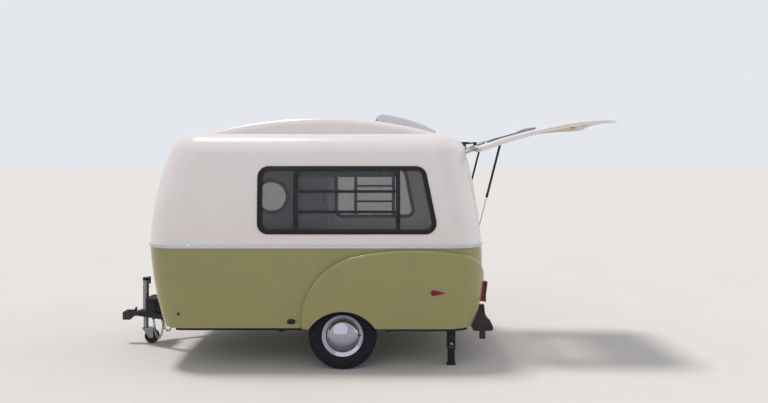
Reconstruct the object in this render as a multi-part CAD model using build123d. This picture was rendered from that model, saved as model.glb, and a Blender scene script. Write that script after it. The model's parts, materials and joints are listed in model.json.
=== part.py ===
# Moulded two-part camper trailer with its rear hatch open, standing on its wheels,
# nose jack and two rear legs.  Millimetres.  While it is built, X runs rearwards
# from the axle line, Y across (the left side is -Y) and Z up from the ground.  At
# the end everything is moved so that the origin is under the middle of its box.
from build123d import *
import os
from functools import cache
from math import atan2, cos, degrees, hypot, radians, sin, tan

os.makedirs("parts", exist_ok=True)

# Cabin levels: height, nose x, tail x, half width, nose bow, tail bow, corner radius
LOWER_LEVELS = [
    (390, -1700, 1222, 1012, 60, 60, 220),
    (560, -1760, 1298, 1028, 70, 80, 260),
    (800, -1820, 1346, 1038, 80, 95, 300),
    (1128, -1861, 1348, 1042, 80, 100, 330),
]
UPPER_LEVELS = [
    (1128, -1861, 1348, 1042, 80, 100, 330),
    (1480, -1826, 1299, 1030, 75, 85, 345),
    (1830, -1744, 1226, 1005, 65, 60, 350),
    (2160, -1605, 1130, 968, 50, 40, 345),
]
WALL = 35
ROOF_EDGE_R = 215
SEAM_H = 26
SEAM_PROUD = 7

# Raised middle of the roof
RIDGE_HALF = 570
RIDGE_FRONT_X = -1420
RIDGE_KNEE_X = -1358
RIDGE_KNEE_Z = 2187
RIDGE_KNEE_R = 160
RIDGE_CREST_X = -270
RIDGE_CREST_Z = 2335
RIDGE_REAR_X = 884
RIDGE_REAR_Z = 2180
RIDGE_REAR_R = 300
RIDGE_END_X = 1184
RIDGE_END_Z = 2046
RIDGE_END_R = 25
RIDGE_TUCK = 30
RIDGE_BASE_Z = 1950
RIDGE_EDGE_R = 70

# Windows: frame face, glass, upright bars and the two rows of level bars
WINDOW_LOW_Z = 1241
WINDOW_HIGH_Z = 1856
WINDOW_R = 100
WINDOW_SLANT = 125
FRAME_FACE = 42
FRAME_PROUD = 9
GLASS_T = 6
GLASS_IN = 12
MULLION = 38
BAR = 24
BAR_HEIGHTS = [1442, 1627]
LEFT_WINDOW_FRONT_X = -768
LEFT_WINDOW_REAR_X = 873
LEFT_MULLIONS = [-423, 504]
RIGHT_WINDOW_FRONT_X = -217
RIGHT_WINDOW_REAR_X = 770
RIGHT_MULLIONS = [37, 491]
FRONT_WINDOW_HALF = 620
FRONT_WINDOW_LOW_Z = 1290
FRONT_WINDOW_HIGH_Z = 1800

# Rear hatch, drawn closed and then swung up about its hinge line
HATCH_HALF = 740
HATCH_LOW_Z = 650
HATCH_HIGH_Z = 2030
HATCH_TIP_R = 170
HATCH_TOP_R = 70
HATCH_GAP = 6
HATCH_SKIN = 25
RIM_AT_HINGE = 40
RIM_AT_TIP = 26
RIM_WIDTH = 28
LINING_T = 6
LINING_IN = 90
HINGE_X = 1206
HINGE_Z = 2086
HATCH_OPEN = 95
HATCH_WINDOW_HALF = 500
HATCH_WINDOW_LOW_Z = 1400
HATCH_WINDOW_HIGH_Z = 1900
HATCH_WINDOW_R = 60
HATCH_FRAME_FACE = 34
HINGE_PLACES = [-430, 430]
HINGE_BARREL_R = 10
HINGE_PIN_R = 4
HINGE_PIN_PLAY = 0.08
HINGE_KNUCKLE = 34
HINGE_PLAY = 0.4
HINGE_STRAP_L = 110
HINGE_STRAP_T = 7
HINGE_ARM_BACK = 46
HINGE_ARM_H = 30
HINGE_WEB_BACK = 10
HINGE_SHELF_L = 90
HINGE_SHELF_H = 60
JAMB_DEPTH = 80
JAMB_WIDTH = 34
TAIL_SLICE_X = 700

# Gas struts of the hatch: stud on the cabin, pin on the hatch
STRUT_Y = 688
STUD_X = 1226
STUD_Z = 1060
STUD_R = 5
STUD_LIP = 2
PIN_DROP = 273
PIN_IN = 48
PIN_BOSS_R = 13
STRUT_TUBE_R = 11
STRUT_TUBE_L = 520
STRUT_ROD_R = 5
STRUT_ROD_IN = 60
STRUT_PLAY = 0.1
STRUT_EYE_R = 10
STRUT_EYE_W = 12
EYE_SIDE_GAP = 0.3

# Entry door in the right side
DOOR_FRONT_X = -1263
DOOR_REAR_X = -683
DOOR_LOW_Z = 455
DOOR_HIGH_Z = 1930
DOOR_R = 90
DOOR_GAP = 12
DOOR_HINGE_IN = 4
DOOR_HINGE_OUT = 16
DOOR_BARREL_R = 9
DOOR_PIN_R = 4
DOOR_HINGE_H = 90
DOOR_PLATE = 30
DOOR_HINGE_HEIGHTS = [640, 1230, 1720]
PORTHOLE_X = -973
PORTHOLE_Z = 1500
PORTHOLE_R = 215
PORTHOLE_RIM = 45
LATCH_Z = 1060
LATCH_IN = 70
LATCH_W = 60
LATCH_H = 110
LATCH_PROUD = 16
LATCH_EDGE = 18

# Fenders moulded into the lower half, and the wheel wells behind them
FENDER_OUT = 42
FENDER_TAIL_IN = 24
FENDER_FRONT_X = -372
FENDER_RISE_Z = 516
FENDER_BEND_X = -214
FENDER_BEND_Z = 862
FENDER_SHOULDER_X = 63
FENDER_SHOULDER_Z = 1035
FENDER_TOP_X = 600
FENDER_TOP_Z = 1104
FENDER_TAIL_X = 1100
FENDER_TAIL_Z = 1062
FENDER_TURN_X = 1262
FENDER_TURN_Z = 960
FENDER_END_X = 1315
FENDER_END_Z = 770
FENDER_EDGE_R = 26
FENDER_INNER_Y = 766
ARCH_R = 360
ARCH_CENTRE_Z = 189
WELL_R = 356
WELL_T = 10
WELL_INNER_Y = 762
WELL_OUTER_Y = 996

# Road wheels, hubs and axle
TYRE_R = 313
TYRE_W = 185
TYRE_TREAD_W = 140
TYRE_EDGE_R = 26
TYRE_BEAD_H = 30
TYRE_SHOULDER_H = 60
TYRE_CROWN = 4
RIM_R = 165
RIM_W = 133
RIM_T = 6
RIM_LIP = 12
DISC_T = 8
DISC_DISH = 14
WHEEL_Y = 892
DISC_OUT = 20
TRIM_RING_R = 188
TRIM_RING_T = 12
TRIM_EDGE_IN = 1
TRIM_EDGE_OUT = 4
CAP_R = 146
CAP_BULGE = 56
CAP_PROUD = 14
CAP_FLANGE_W = 9
CAP_FLANGE_T = 4
CAP_SEAT = 0.2
HUB_R = 62
HUB_L = 70
SPINDLE_R = 16
SPINDLE_PLAY = 0.05
AXLE_TUBE = 76
AXLE_LEAD = 130
AXLE_HALF = 690
SWING_ARM_T = 26
SWING_ARM_H = 60

# Chassis
RAIL_H = 50
RAIL_W = 60
MAIN_RAIL_Y = 560
EDGE_RAIL_Y = 935
EDGE_RAIL_W = 34
EDGE_RAIL_H = 33
EDGE_RAIL_FRONT_IN = 250
EDGE_RAIL_REAR_IN = 150
CROSS_W = 50
CHASSIS_FRONT_X = -1560
CHASSIS_REAR_X = 1150
CROSS_PLACES = [-1530, -560, 420, 1006]
APEX_X = -2215
ARM_H = 50
ARM_W = 50
ARM_ANGLE = 30
ARM_REAR_X = -1240
APEX_TRIM = 20
APEX_PLATE_T = 8
APEX_PLATE_L = 240
APEX_PLATE_HALF = 40

# Safety chains, each looped up under one arm of the nose frame
CHAIN_WIRE_R = 4
CHAIN_SIDES = 8
CHAIN_BEND_R = 9.5
CHAIN_STRAIGHT = 12
CHAIN_PLAY = 0.1
CHAIN_LINKS = 13
CHAIN_START = 238
CHAIN_SPREAD = 27
LUG_DROP = 14
LUG_R = 8
LUG_T = 4
LUG_HALF = 12

# Nose: coupler, jack and battery box
COUPLER_NOSE_X = -2373
COUPLER_W = 76
COUPLER_LOW_Z = 250
COUPLER_HIGH_Z = 338
COUPLER_REAR_X = -2166
COUPLER_STEP = 40
COUPLER_CHAMFER = 22
COUPLER_NOSE_R = 30
BALL_R = 25
BALL_PLAY = 0.4
BALL_IN = 43
BALL_Z = 268
LEVER_L = 105
LEVER_H = 40
LEVER_W = 18
LEVER_T = 12
JACK_X = -2130
JACK_TUBE_R = 30
JACK_LEG_R = 25
JACK_PLAY = 0.1
JACK_TOP_Z = 660
JACK_LEG_TOP_Z = 460
JACK_LEG_LOW_Z = 172
CRANK_CAP_H = 30
CRANK_CAP_LIP = 3
CRANK_L = 90
CRANK_R = 7
CRANK_GRIP_R = 12
CRANK_GRIP_L = 70
JOCKEY_R = 75
JOCKEY_W = 45
JOCKEY_TRAIL = 65
JOCKEY_AXLE_R = 7
JOCKEY_HUB_R = 24
JOCKEY_DISH = 6
JOCKEY_TYRE_H = 16
JOCKEY_EDGE_R = 9
FORK_T = 5
FORK_GAP = 5
CROWN_T = 8
CROWN_GAP = 7
CROWN_LIP = 4
SWIVEL_R = 12
SWIVEL_L = 58
SWIVEL_HEADROOM = 2
FORK_REAR = 20
FORK_DROP = 16
BATTERY_FRONT_X = -2094
BATTERY_L = 175
BATTERY_W = 250
BATTERY_H = 138
BATTERY_LID_H = 22
BATTERY_LIP = 4
BATTERY_EDGE_R = 14

# Rear legs and bumper step
LEG_X = 1006
LEG_Y = 780
LEG_SLEEVE = 76
LEG_SLEEVE_LOW_Z = 150
LEG_INNER = 64
LEG_FOOT = 84
LEG_FOOT_T = 8
BUMPER_HALF = 800
BUMPER_FRONT_X = 1215
BUMPER_REAR_X = 1402
BUMPER_LOW_Z = 314
BUMPER_NOSE_Z = 332
BUMPER_TUCK = 21
BUMPER_BEND = (1376, 400)
STEP_REAR_X = 1326
STEP_Z = 450
GUSSET_W = 40
GUSSET_TOP_Z = 560
GUSSET_LEAN = 12
FOOT_BRACKET_L = 52
FOOT_BRACKET_H = 74

# Lamps, markers and cable port
TAIL_LIGHT_Y = 810
TAIL_LIGHT_LOW_Z = 594
TAIL_LIGHT_HIGH_Z = 780
TAIL_LIGHT_W = 64
TAIL_LIGHT_PROUD = 34
MARKER_X = 859
MARKER_Z = 719
MARKER_L = 125
MARKER_H = 50
FRONT_MARKER_X = -1479
FRONT_MARKER_Z = 520
FRONT_MARKER_R = 13
PORT_X = -461
PORT_Z = 450
PORT_L = 78
PORT_H = 45
TRIM_PROUD = 10

# Roof vent
VENT_FRONT_X = 291
VENT_REAR_X = 903
VENT_HALF = 205
VENT_HOLE = 360
VENT_CURB = 16
VENT_H = 96
VENT_FACE_H = 40
VENT_NOSE_L = 70
VENT_NOSE_DROP = 16
VENT_CREST_AT = 0.36
VENT_CREST_RISE = 4
VENT_REAR_H = 34
VENT_SKIRT = 40
VENT_EDGE_R = 24
VENT_WALL = 4
VENT_GAP = 2
VENT_HINGE_R = 6
VENT_HINGE_PIN_R = 2.5
VENT_HINGE_Y = 120
VENT_HINGE_L = 24

# Inside
FLOOR_T = 18
BOARD_T = 18
FIT_GAP = 1
BENCH_FRONT_X = -230
BENCH_REAR_X = 1120
BENCH_INNER_Y = 430
BENCH_TOP_Z = 790
CUSHION_T = 95
COUNTER_REAR_X = -1300
COUNTER_TOP_Z = 930
WARDROBE_FRONT_X = -600
WARDROBE_REAR_X = -260
WARDROBE_TOP_Z = 1840
WARDROBE_INNER_Y = 640

BODY_LOW_Z = LOWER_LEVELS[0][0]
ROOF_Z = UPPER_LEVELS[-1][0]
FAR = 3000


def slab(low, high):
    """Everything between two heights."""
    return Pos(0, 0, (low + high) / 2) * Box(2 * FAR, 2 * FAR, high - low)


def side_prism(face, low, high):
    """A face drawn in x and z, stretched across from y = low to y = high."""
    return Pos(0, high, 0) * extrude(Plane.XZ * face, amount=high - low)


def end_prism(face, low, high):
    """A face drawn in y and z, stretched along from x = low to x = high."""
    return Pos(low, 0, 0) * extrude(Plane.YZ * face, amount=high - low)


def rounded(points, radius):
    return make_face(FilletPolyline(points, radius=radius, close=True))


def block(x_low, x_high, y_low, y_high, z_low, z_high):
    centre = Pos((x_low + x_high) / 2, (y_low + y_high) / 2, (z_low + z_high) / 2)
    return centre * Box(x_high - x_low, y_high - y_low, z_high - z_low)


def rod_y(x, z, radius, low, high):
    """A round bar across the trailer."""
    return Pos(x, (low + high) / 2, z) * Rot(90, 0, 0) * Cylinder(radius, high - low)


def rod_x(y, z, radius, low, high):
    return Pos((low + high) / 2, y, z) * Rot(0, 90, 0) * Cylinder(radius, high - low)


def rod_z(x, y, radius, low, high):
    return Pos(x, y, (low + high) / 2) * Cylinder(radius, high - low)


def both_sides(solid):
    return solid + mirror(solid, about=Plane.XZ)


# The cabin's outer form, and the same form grown or shrunk

def level_face(level, grow, tail_cut=0, lift=0):
    """One level of the cabin: bowed ends, straight sides, rounded corners."""
    height, nose, tail, half, nose_bow, tail_bow, corner_r = level
    nose_x = nose - grow
    tail_x = tail + grow - tail_cut
    side = half + grow
    front_x = nose_x + nose_bow
    rear_x = tail_x - tail_bow
    outline = [
        Line((front_x, -side), (rear_x, -side)),
        ThreePointArc((rear_x, -side), (tail_x, 0), (rear_x, side)),
        Line((rear_x, side), (front_x, side)),
        ThreePointArc((front_x, side), (nose_x, 0), (front_x, -side)),
    ]
    face = fillet(make_face(outline).vertices(), corner_r + grow)
    return Pos(0, 0, height + lift) * face


def no_cut(z):
    return 0


@cache
def lower_form(grow, tail_cut=no_cut):
    return loft([level_face(level, grow, tail_cut(level[0])) for level in LOWER_LEVELS])


@cache
def upper_form(grow, tail_cut=no_cut):
    faces = [level_face(level, grow, tail_cut(level[0])) for level in UPPER_LEVELS[:-1]]
    top = UPPER_LEVELS[-1]
    faces.append(level_face(top, grow, tail_cut(top[0]), grow))
    body = loft(faces)
    return fillet(body.faces().sort_by(Axis.Z)[-1].edges(), ROOF_EDGE_R + grow)


def ridge_blank(grow):
    """The raised middle of the roof, with a curved spine and square edges."""
    spine = [
        Line((RIDGE_FRONT_X, RIDGE_BASE_Z), (RIDGE_FRONT_X, ROOF_Z)),
        Line((RIDGE_FRONT_X, ROOF_Z), (RIDGE_KNEE_X, RIDGE_KNEE_Z)),
        ThreePointArc(
            (RIDGE_KNEE_X, RIDGE_KNEE_Z),
            (RIDGE_CREST_X, RIDGE_CREST_Z),
            (RIDGE_REAR_X, RIDGE_REAR_Z),
        ),
        Line((RIDGE_REAR_X, RIDGE_REAR_Z), (RIDGE_END_X, RIDGE_END_Z)),
        Line((RIDGE_END_X, RIDGE_END_Z), (RIDGE_END_X - RIDGE_TUCK, RIDGE_BASE_Z)),
        Line((RIDGE_END_X - RIDGE_TUCK, RIDGE_BASE_Z), (RIDGE_FRONT_X, RIDGE_BASE_Z)),
    ]
    face = make_face(spine)
    bends = [
        (RIDGE_KNEE_X, RIDGE_KNEE_R),
        (RIDGE_REAR_X, RIDGE_REAR_R),
        (RIDGE_END_X, RIDGE_END_R),
    ]
    for place, radius in bends:
        corner = face.vertices().sort_by(lambda v: abs(v.X - place) - v.Y / FAR)[0]
        face = fillet(corner, radius)
    if grow:
        face = offset(face, amount=grow)
    return side_prism(face, -RIDGE_HALF - grow, RIDGE_HALF + grow)


@cache
def ridge_form(grow):
    """The raised middle of the roof with its long edges rounded."""
    half = RIDGE_HALF + grow
    solid = ridge_blank(grow)
    edges = [
        edge
        for edge in solid.edges()
        if abs(edge.center().Y) > half - 1 and edge.center().Z > ROOF_Z + grow
    ]
    return fillet(edges, RIDGE_EDGE_R + grow)


def height_on_ridge(x):
    """Height of the raised roof's crest line above a place along the trailer."""
    points = [
        (RIDGE_KNEE_X, RIDGE_KNEE_Z),
        (RIDGE_CREST_X, RIDGE_CREST_Z),
        (RIDGE_REAR_X, RIDGE_REAR_Z),
    ]
    (ax, az), (bx, bz), (cx, cz) = points
    sums = [px**2 + pz**2 for px, pz in points]
    area = 2 * (ax * (bz - cz) + bx * (cz - az) + cx * (az - bz))
    centre_x = (sums[0] * (bz - cz) + sums[1] * (cz - az) + sums[2] * (az - bz)) / area
    centre_z = (sums[0] * (cx - bx) + sums[1] * (ax - cx) + sums[2] * (bx - ax)) / area
    radius = hypot(bx - centre_x, bz - centre_z)
    return centre_z + (radius**2 - (x - centre_x) ** 2) ** 0.5


LOWER = lower_form(0)
LOWER_IN = lower_form(-WALL)
UPPER = upper_form(0) + ridge_form(0)
UPPER_IN = upper_form(-WALL) + ridge_form(-WALL)
UPPER_PROUD = upper_form(FRAME_PROUD)
CABIN = LOWER + UPPER
CABIN_IN = LOWER_IN + UPPER_IN


# Windows

def window_outline(front_x, rear_x):
    points = [
        (front_x, WINDOW_LOW_Z),
        (rear_x, WINDOW_LOW_Z),
        (rear_x - WINDOW_SLANT, WINDOW_HIGH_Z),
        (front_x, WINDOW_HIGH_Z),
    ]
    return rounded(points, WINDOW_R)


def front_window_outline():
    points = [
        (-FRONT_WINDOW_HALF, FRONT_WINDOW_LOW_Z),
        (FRONT_WINDOW_HALF, FRONT_WINDOW_LOW_Z),
        (FRONT_WINDOW_HALF, FRONT_WINDOW_HIGH_Z),
        (-FRONT_WINDOW_HALF, FRONT_WINDOW_HIGH_Z),
    ]
    return rounded(points, WINDOW_R)


# side, front x, rear x at the sill, mullions
SIDE_WINDOWS = [
    (-1, LEFT_WINDOW_FRONT_X, LEFT_WINDOW_REAR_X, LEFT_MULLIONS),
    (1, RIGHT_WINDOW_FRONT_X, RIGHT_WINDOW_REAR_X, RIGHT_MULLIONS),
]


def side_span(side):
    """The stretch of y that holds one side wall."""
    return (-FAR, 0) if side < 0 else (0, FAR)


def window_bars(side, mullions):
    """Uprights, and level bars between the two uprights."""
    low, high = side_span(side)
    half = MULLION / 2
    uprights = [block(x - half, x + half, low, high, 0, FAR) for x in mullions]
    half = BAR / 2
    levels = [block(*mullions, low, high, z - half, z + half) for z in BAR_HEIGHTS]
    return uprights + levels


def side_window_frames():
    frames = []
    band = UPPER_PROUD - UPPER_IN
    for side, front_x, rear_x, mullions in SIDE_WINDOWS:
        outer = window_outline(front_x, rear_x)
        opening = side_prism(offset(outer, amount=-FRAME_FACE), *side_span(side))
        frame = side_prism(outer, *side_span(side)) - opening
        for bar in window_bars(side, mullions):
            frame = frame + (bar & opening)
        frames += (band & frame).solids()
    return frames


def front_window_frame():
    outer = front_window_outline()
    inner = offset(outer, amount=-FRAME_FACE)
    ring = end_prism(outer, -FAR, 0) - end_prism(inner, -FAR, 0)
    return [(UPPER_PROUD - UPPER_IN) & ring]


def window_glass():
    band = upper_form(-GLASS_IN) - upper_form(-GLASS_IN - GLASS_T)
    panes = []
    for side, front_x, rear_x, mullions in SIDE_WINDOWS:
        inner = offset(window_outline(front_x, rear_x), amount=-FRAME_FACE)
        pane = side_prism(inner, *side_span(side))
        for bar in window_bars(side, mullions):
            pane = pane - bar
        panes += (band & pane).solids()
    inner = offset(front_window_outline(), amount=-FRAME_FACE)
    panes += (band & end_prism(inner, -FAR, 0)).solids()
    return panes


# Entry door in the right side

DOOR_AXIS_X = DOOR_FRONT_X - DOOR_HINGE_IN
DOOR_AXIS_Y = LOWER_LEVELS[-1][3] + DOOR_HINGE_OUT


def door_outline(grow=0):
    points = [
        (DOOR_FRONT_X, DOOR_LOW_Z),
        (DOOR_REAR_X, DOOR_LOW_Z),
        (DOOR_REAR_X, DOOR_HIGH_Z),
        (DOOR_FRONT_X, DOOR_HIGH_Z),
    ]
    face = rounded(points, DOOR_R)
    return offset(face, amount=grow) if grow else face


def door_knuckle(x_low, x_high, z_low, z_high):
    """A barrel on the door's axis with a plate that reaches the cabin's skin."""
    barrel = rod_z(DOOR_AXIS_X, DOOR_AXIS_Y, DOOR_BARREL_R, z_low, z_high)
    plate = block(x_low, x_high, 0, DOOR_AXIS_Y, z_low, z_high)
    return barrel + plate - CABIN


def entry_door():
    leaf = (CABIN - CABIN_IN) & side_prism(door_outline(), 0, FAR)
    leaf = leaf - rod_y(PORTHOLE_X, PORTHOLE_Z, PORTHOLE_R, 0, FAR)
    third = DOOR_HINGE_H / 3
    bore = rod_z(DOOR_AXIS_X, DOOR_AXIS_Y, DOOR_PIN_R + HINGE_PIN_PLAY, 0, FAR)
    for z in DOOR_HINGE_HEIGHTS:
        low = z - third / 2
        knuckle = door_knuckle(DOOR_AXIS_X, DOOR_FRONT_X + DOOR_PLATE, low, low + third)
        leaf = leaf + (knuckle - bore)
    return [leaf]


def door_hinges():
    hinges = []
    third = DOOR_HINGE_H / 3
    plate_x = DOOR_FRONT_X - DOOR_GAP - DOOR_PLATE
    for z in DOOR_HINGE_HEIGHTS:
        low = z - DOOR_HINGE_H / 2
        high = z + DOOR_HINGE_H / 2
        hinge = rod_z(DOOR_AXIS_X, DOOR_AXIS_Y, DOOR_PIN_R, low, high)
        hinge = hinge + door_knuckle(plate_x, DOOR_AXIS_X, low, low + third - HINGE_PLAY)
        hinge = hinge + door_knuckle(plate_x, DOOR_AXIS_X, high - third + HINGE_PLAY, high)
        hinges.append(hinge)
    return hinges


def porthole_frame():
    ring = rod_y(PORTHOLE_X, PORTHOLE_Z, PORTHOLE_R, 0, FAR)
    ring = ring - rod_y(PORTHOLE_X, PORTHOLE_Z, PORTHOLE_R - PORTHOLE_RIM, 0, FAR)
    return [(UPPER_PROUD - UPPER_IN) & ring]


def porthole_glass():
    band = upper_form(-GLASS_IN) - upper_form(-GLASS_IN - GLASS_T)
    return [band & rod_y(PORTHOLE_X, PORTHOLE_Z, PORTHOLE_R - PORTHOLE_RIM, 0, FAR)]


def door_latch():
    """Raised plate with a finger scoop down its middle."""
    x = DOOR_REAR_X - LATCH_IN
    band = lower_form(LATCH_PROUD) - LOWER
    half = LATCH_W / 2
    low = LATCH_Z - LATCH_H / 2
    plate = block(x - half, x + half, 0, FAR, low, low + LATCH_H)
    face_y = LOWER_LEVELS[-1][3] + LATCH_PROUD
    scoop = rod_z(x, face_y, LATCH_W / 4, low + LATCH_EDGE, low + LATCH_H - LATCH_EDGE)
    return [(band & plate) - scoop]


# Rear hatch

def hatch_outline(grow=0):
    points = [
        (-HATCH_HALF, HATCH_LOW_Z),
        (HATCH_HALF, HATCH_LOW_Z),
        (HATCH_HALF, HATCH_HIGH_Z),
        (-HATCH_HALF, HATCH_HIGH_Z),
    ]
    face = make_face(Polyline(*points, close=True))
    low = face.vertices().sort_by(Axis.Y)[:2]
    face = fillet(low, HATCH_TIP_R)
    high = face.vertices().sort_by(Axis.Y)[-2:]
    face = fillet(high, HATCH_TOP_R)
    return offset(face, amount=grow) if grow else face


def hatch_window_outline():
    points = [
        (-HATCH_WINDOW_HALF, HATCH_WINDOW_LOW_Z),
        (HATCH_WINDOW_HALF, HATCH_WINDOW_LOW_Z),
        (HATCH_WINDOW_HALF, HATCH_WINDOW_HIGH_Z),
        (-HATCH_WINDOW_HALF, HATCH_WINDOW_HIGH_Z),
    ]
    return rounded(points, HATCH_WINDOW_R)


def rim_depth(z):
    share = (z - HATCH_LOW_Z) / (HATCH_HIGH_Z - HATCH_LOW_Z)
    return RIM_AT_TIP + (RIM_AT_HINGE - RIM_AT_TIP) * share


def skin_depth(z):
    return HATCH_SKIN


def lining_depth(z):
    return HATCH_SKIN + LINING_T


def glass_depth(z):
    return GLASS_IN


def glass_back_depth(z):
    return GLASS_IN + GLASS_T


def jamb_depth(z):
    return JAMB_DEPTH


def tail_slice(field, depth_out, depth_in):
    """The part of the tail wall inside a field, between two depths from its skin."""
    piece = end_prism(field, TAIL_SLICE_X, FAR)
    piece = piece & (CABIN if depth_out is no_cut else tail_core(depth_out))
    return piece - lower_form(0, depth_in) - upper_form(0, depth_in)


@cache
def tail_core(depth):
    """The cabin's tail end with only its tail wall moved in."""
    reach = HATCH_HALF + HATCH_GAP
    low = HATCH_LOW_Z - HATCH_GAP
    high = HATCH_HIGH_Z + HATCH_GAP
    span = block(TAIL_SLICE_X, FAR, -reach, reach, low, high)
    return (lower_form(0, depth) & span) + (upper_form(0, depth) & span)


def swing_open(solid):
    """Turn a closed hatch piece about the hinge line to where it stands open."""
    axis = Axis((HINGE_X, 0, HINGE_Z), (0, 1, 0))
    return solid.rotate(axis, -HATCH_OPEN)


def hatch_closed_skin():
    window = end_prism(hatch_window_outline(), 0, FAR)
    inset = end_prism(hatch_outline(-RIM_WIDTH), 0, FAR)
    skin = tail_slice(hatch_outline(), no_cut, skin_depth)
    rim = tail_slice(hatch_outline(), no_cut, rim_depth) - inset
    pin_x = HINGE_X - PIN_IN
    pin_z = HINGE_Z - PIN_DROP
    reach = HATCH_HALF - RIM_WIDTH / 2
    stud = rod_y(pin_x, pin_z, STUD_R, STRUT_Y - STRUT_EYE_W / 2 - STUD_LIP, reach)
    boss = rod_y(pin_x, pin_z, PIN_BOSS_R, HATCH_HALF - RIM_WIDTH, reach)
    return skin + rim - window + both_sides(stud + boss)


def hatch_skin():
    return [swing_open(hatch_closed_skin())]


def hatch_lining():
    panel = tail_slice(hatch_outline(-LINING_IN), skin_depth, lining_depth)
    return [swing_open(panel - end_prism(hatch_window_outline(), 0, FAR))]


def hatch_window_frame():
    outer = hatch_window_outline()
    opening = end_prism(offset(outer, amount=-HATCH_FRAME_FACE), 0, FAR)
    back = tail_slice(outer, no_cut, lining_depth)
    front = (UPPER_PROUD - UPPER) & end_prism(outer, 0, FAR)
    return [swing_open(back + front - opening)]


def hatch_window_glass():
    inner = offset(hatch_window_outline(), amount=-HATCH_FRAME_FACE)
    return [swing_open(tail_slice(inner, glass_depth, glass_back_depth))]


def hatch_hinges():
    """Straps on the hatch, each with one knuckle."""
    straps = []
    bore = rod_y(HINGE_X, HINGE_Z, HINGE_PIN_R + HINGE_PIN_PLAY, -FAR, FAR)
    for y in HINGE_PLACES:
        low = y - HINGE_KNUCKLE / 2
        high = y + HINGE_KNUCKLE / 2
        knuckle = rod_y(HINGE_X, HINGE_Z, HINGE_BARREL_R, low, high)
        outline = [
            (HINGE_X - HINGE_BARREL_R / 2, HINGE_Z),
            (HINGE_X + HINGE_BARREL_R, HINGE_Z),
            (HINGE_X + HINGE_BARREL_R, HATCH_HIGH_Z - HINGE_STRAP_L),
            (0, HATCH_HIGH_Z - HINGE_STRAP_L),
            (0, HATCH_HIGH_Z),
            (HINGE_X - HINGE_STRAP_T * 4, HATCH_HIGH_Z),
        ]
        strap = side_prism(make_face(Polyline(*outline, close=True)), low, high)
        strap = (strap & upper_form(HINGE_STRAP_T)) - UPPER
        arm = block(
            HINGE_X - HINGE_ARM_BACK,
            HINGE_X + HINGE_PIN_R,
            low,
            high,
            HATCH_HIGH_Z - HINGE_ARM_H,
            HATCH_HIGH_Z,
        )
        web = block(
            HINGE_X - HINGE_WEB_BACK,
            HINGE_X + HINGE_PIN_R,
            low,
            high,
            HATCH_HIGH_Z - HINGE_ARM_H,
            HINGE_Z,
        )
        strap = strap + (arm - UPPER) + web + knuckle - bore
        straps.append(swing_open(strap))
    return straps


def hinge_brackets():
    """Brackets on the cabin, each with two knuckles and the pin."""
    brackets = []
    reach = HINGE_KNUCKLE * 1.5 + HINGE_PLAY
    for y in HINGE_PLACES:
        bracket = rod_y(HINGE_X, HINGE_Z, HINGE_PIN_R, y - reach, y + reach)
        for side in (-1, 1):
            inner = y + side * (HINGE_KNUCKLE / 2 + HINGE_PLAY)
            outer = y + side * reach
            low = min(inner, outer)
            high = max(inner, outer)
            bracket = bracket + rod_y(HINGE_X, HINGE_Z, HINGE_BARREL_R, low, high)
            front = RIDGE_END_X - HINGE_SHELF_L
            top = HINGE_Z + HINGE_BARREL_R
            shelf = block(front, HINGE_X, low, high, HINGE_Z - HINGE_BARREL_R, top)
            wedge = block(front, RIDGE_END_X, low, high, HINGE_Z - HINGE_SHELF_H, top)
            bracket = bracket + ((shelf + wedge) - UPPER)
        brackets.append(bracket)
    return brackets


def hatch_jamb():
    """The frame inside the cabin around the hatch opening, with the strut studs."""
    outer = end_prism(hatch_outline(HATCH_GAP + JAMB_WIDTH), TAIL_SLICE_X, FAR)
    inner = end_prism(hatch_outline(HATCH_GAP), 0, FAR)
    ring = (outer - inner) & CABIN_IN
    frame = ring - lower_form(-WALL, jamb_depth) - upper_form(-WALL, jamb_depth)
    low = STRUT_Y + STRUT_EYE_W / 2 + EYE_SIDE_GAP
    high = HATCH_HALF + HATCH_GAP + JAMB_WIDTH / 2
    stud = rod_y(STUD_X, STUD_Z, STUD_R, low, high)
    return [frame + both_sides(stud)]


# Gas struts

def turned(x, z, angle):
    """Turn a point about the hinge line, positive about +Y."""
    dx = x - HINGE_X
    dz = z - HINGE_Z
    c = cos(radians(angle))
    s = sin(radians(angle))
    return HINGE_X + dx * c + dz * s, HINGE_Z - dx * s + dz * c


PIN_X, PIN_Z = turned(HINGE_X - PIN_IN, HINGE_Z - PIN_DROP, -HATCH_OPEN)
STRUT_LENGTH = hypot(PIN_X - STUD_X, PIN_Z - STUD_Z)
STRUT_LEAN = degrees(atan2(PIN_X - STUD_X, PIN_Z - STUD_Z))


def along_strut(solid, side):
    """Place a piece drawn upright over the stud, z measured from the stud."""
    return Pos(STUD_X, side * STRUT_Y, STUD_Z) * Rot(0, STRUT_LEAN, 0) * solid


def strut_tube(side):
    neck = STRUT_LENGTH - STRUT_EYE_R / 2
    tube = rod_z(0, 0, STRUT_TUBE_R, STRUT_LENGTH - STRUT_TUBE_L, neck)
    bore = rod_z(
        0,
        0,
        STRUT_ROD_R + STRUT_PLAY,
        STRUT_LENGTH - STRUT_TUBE_L,
        STRUT_LENGTH - STRUT_EYE_R * 3,
    )
    eye = rod_y(0, STRUT_LENGTH, STRUT_EYE_R, -STRUT_EYE_W / 2, STRUT_EYE_W / 2)
    hole = rod_y(0, STRUT_LENGTH, STUD_R + STRUT_PLAY, -FAR, FAR)
    return [along_strut(tube - bore + eye - hole, side)]


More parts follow.
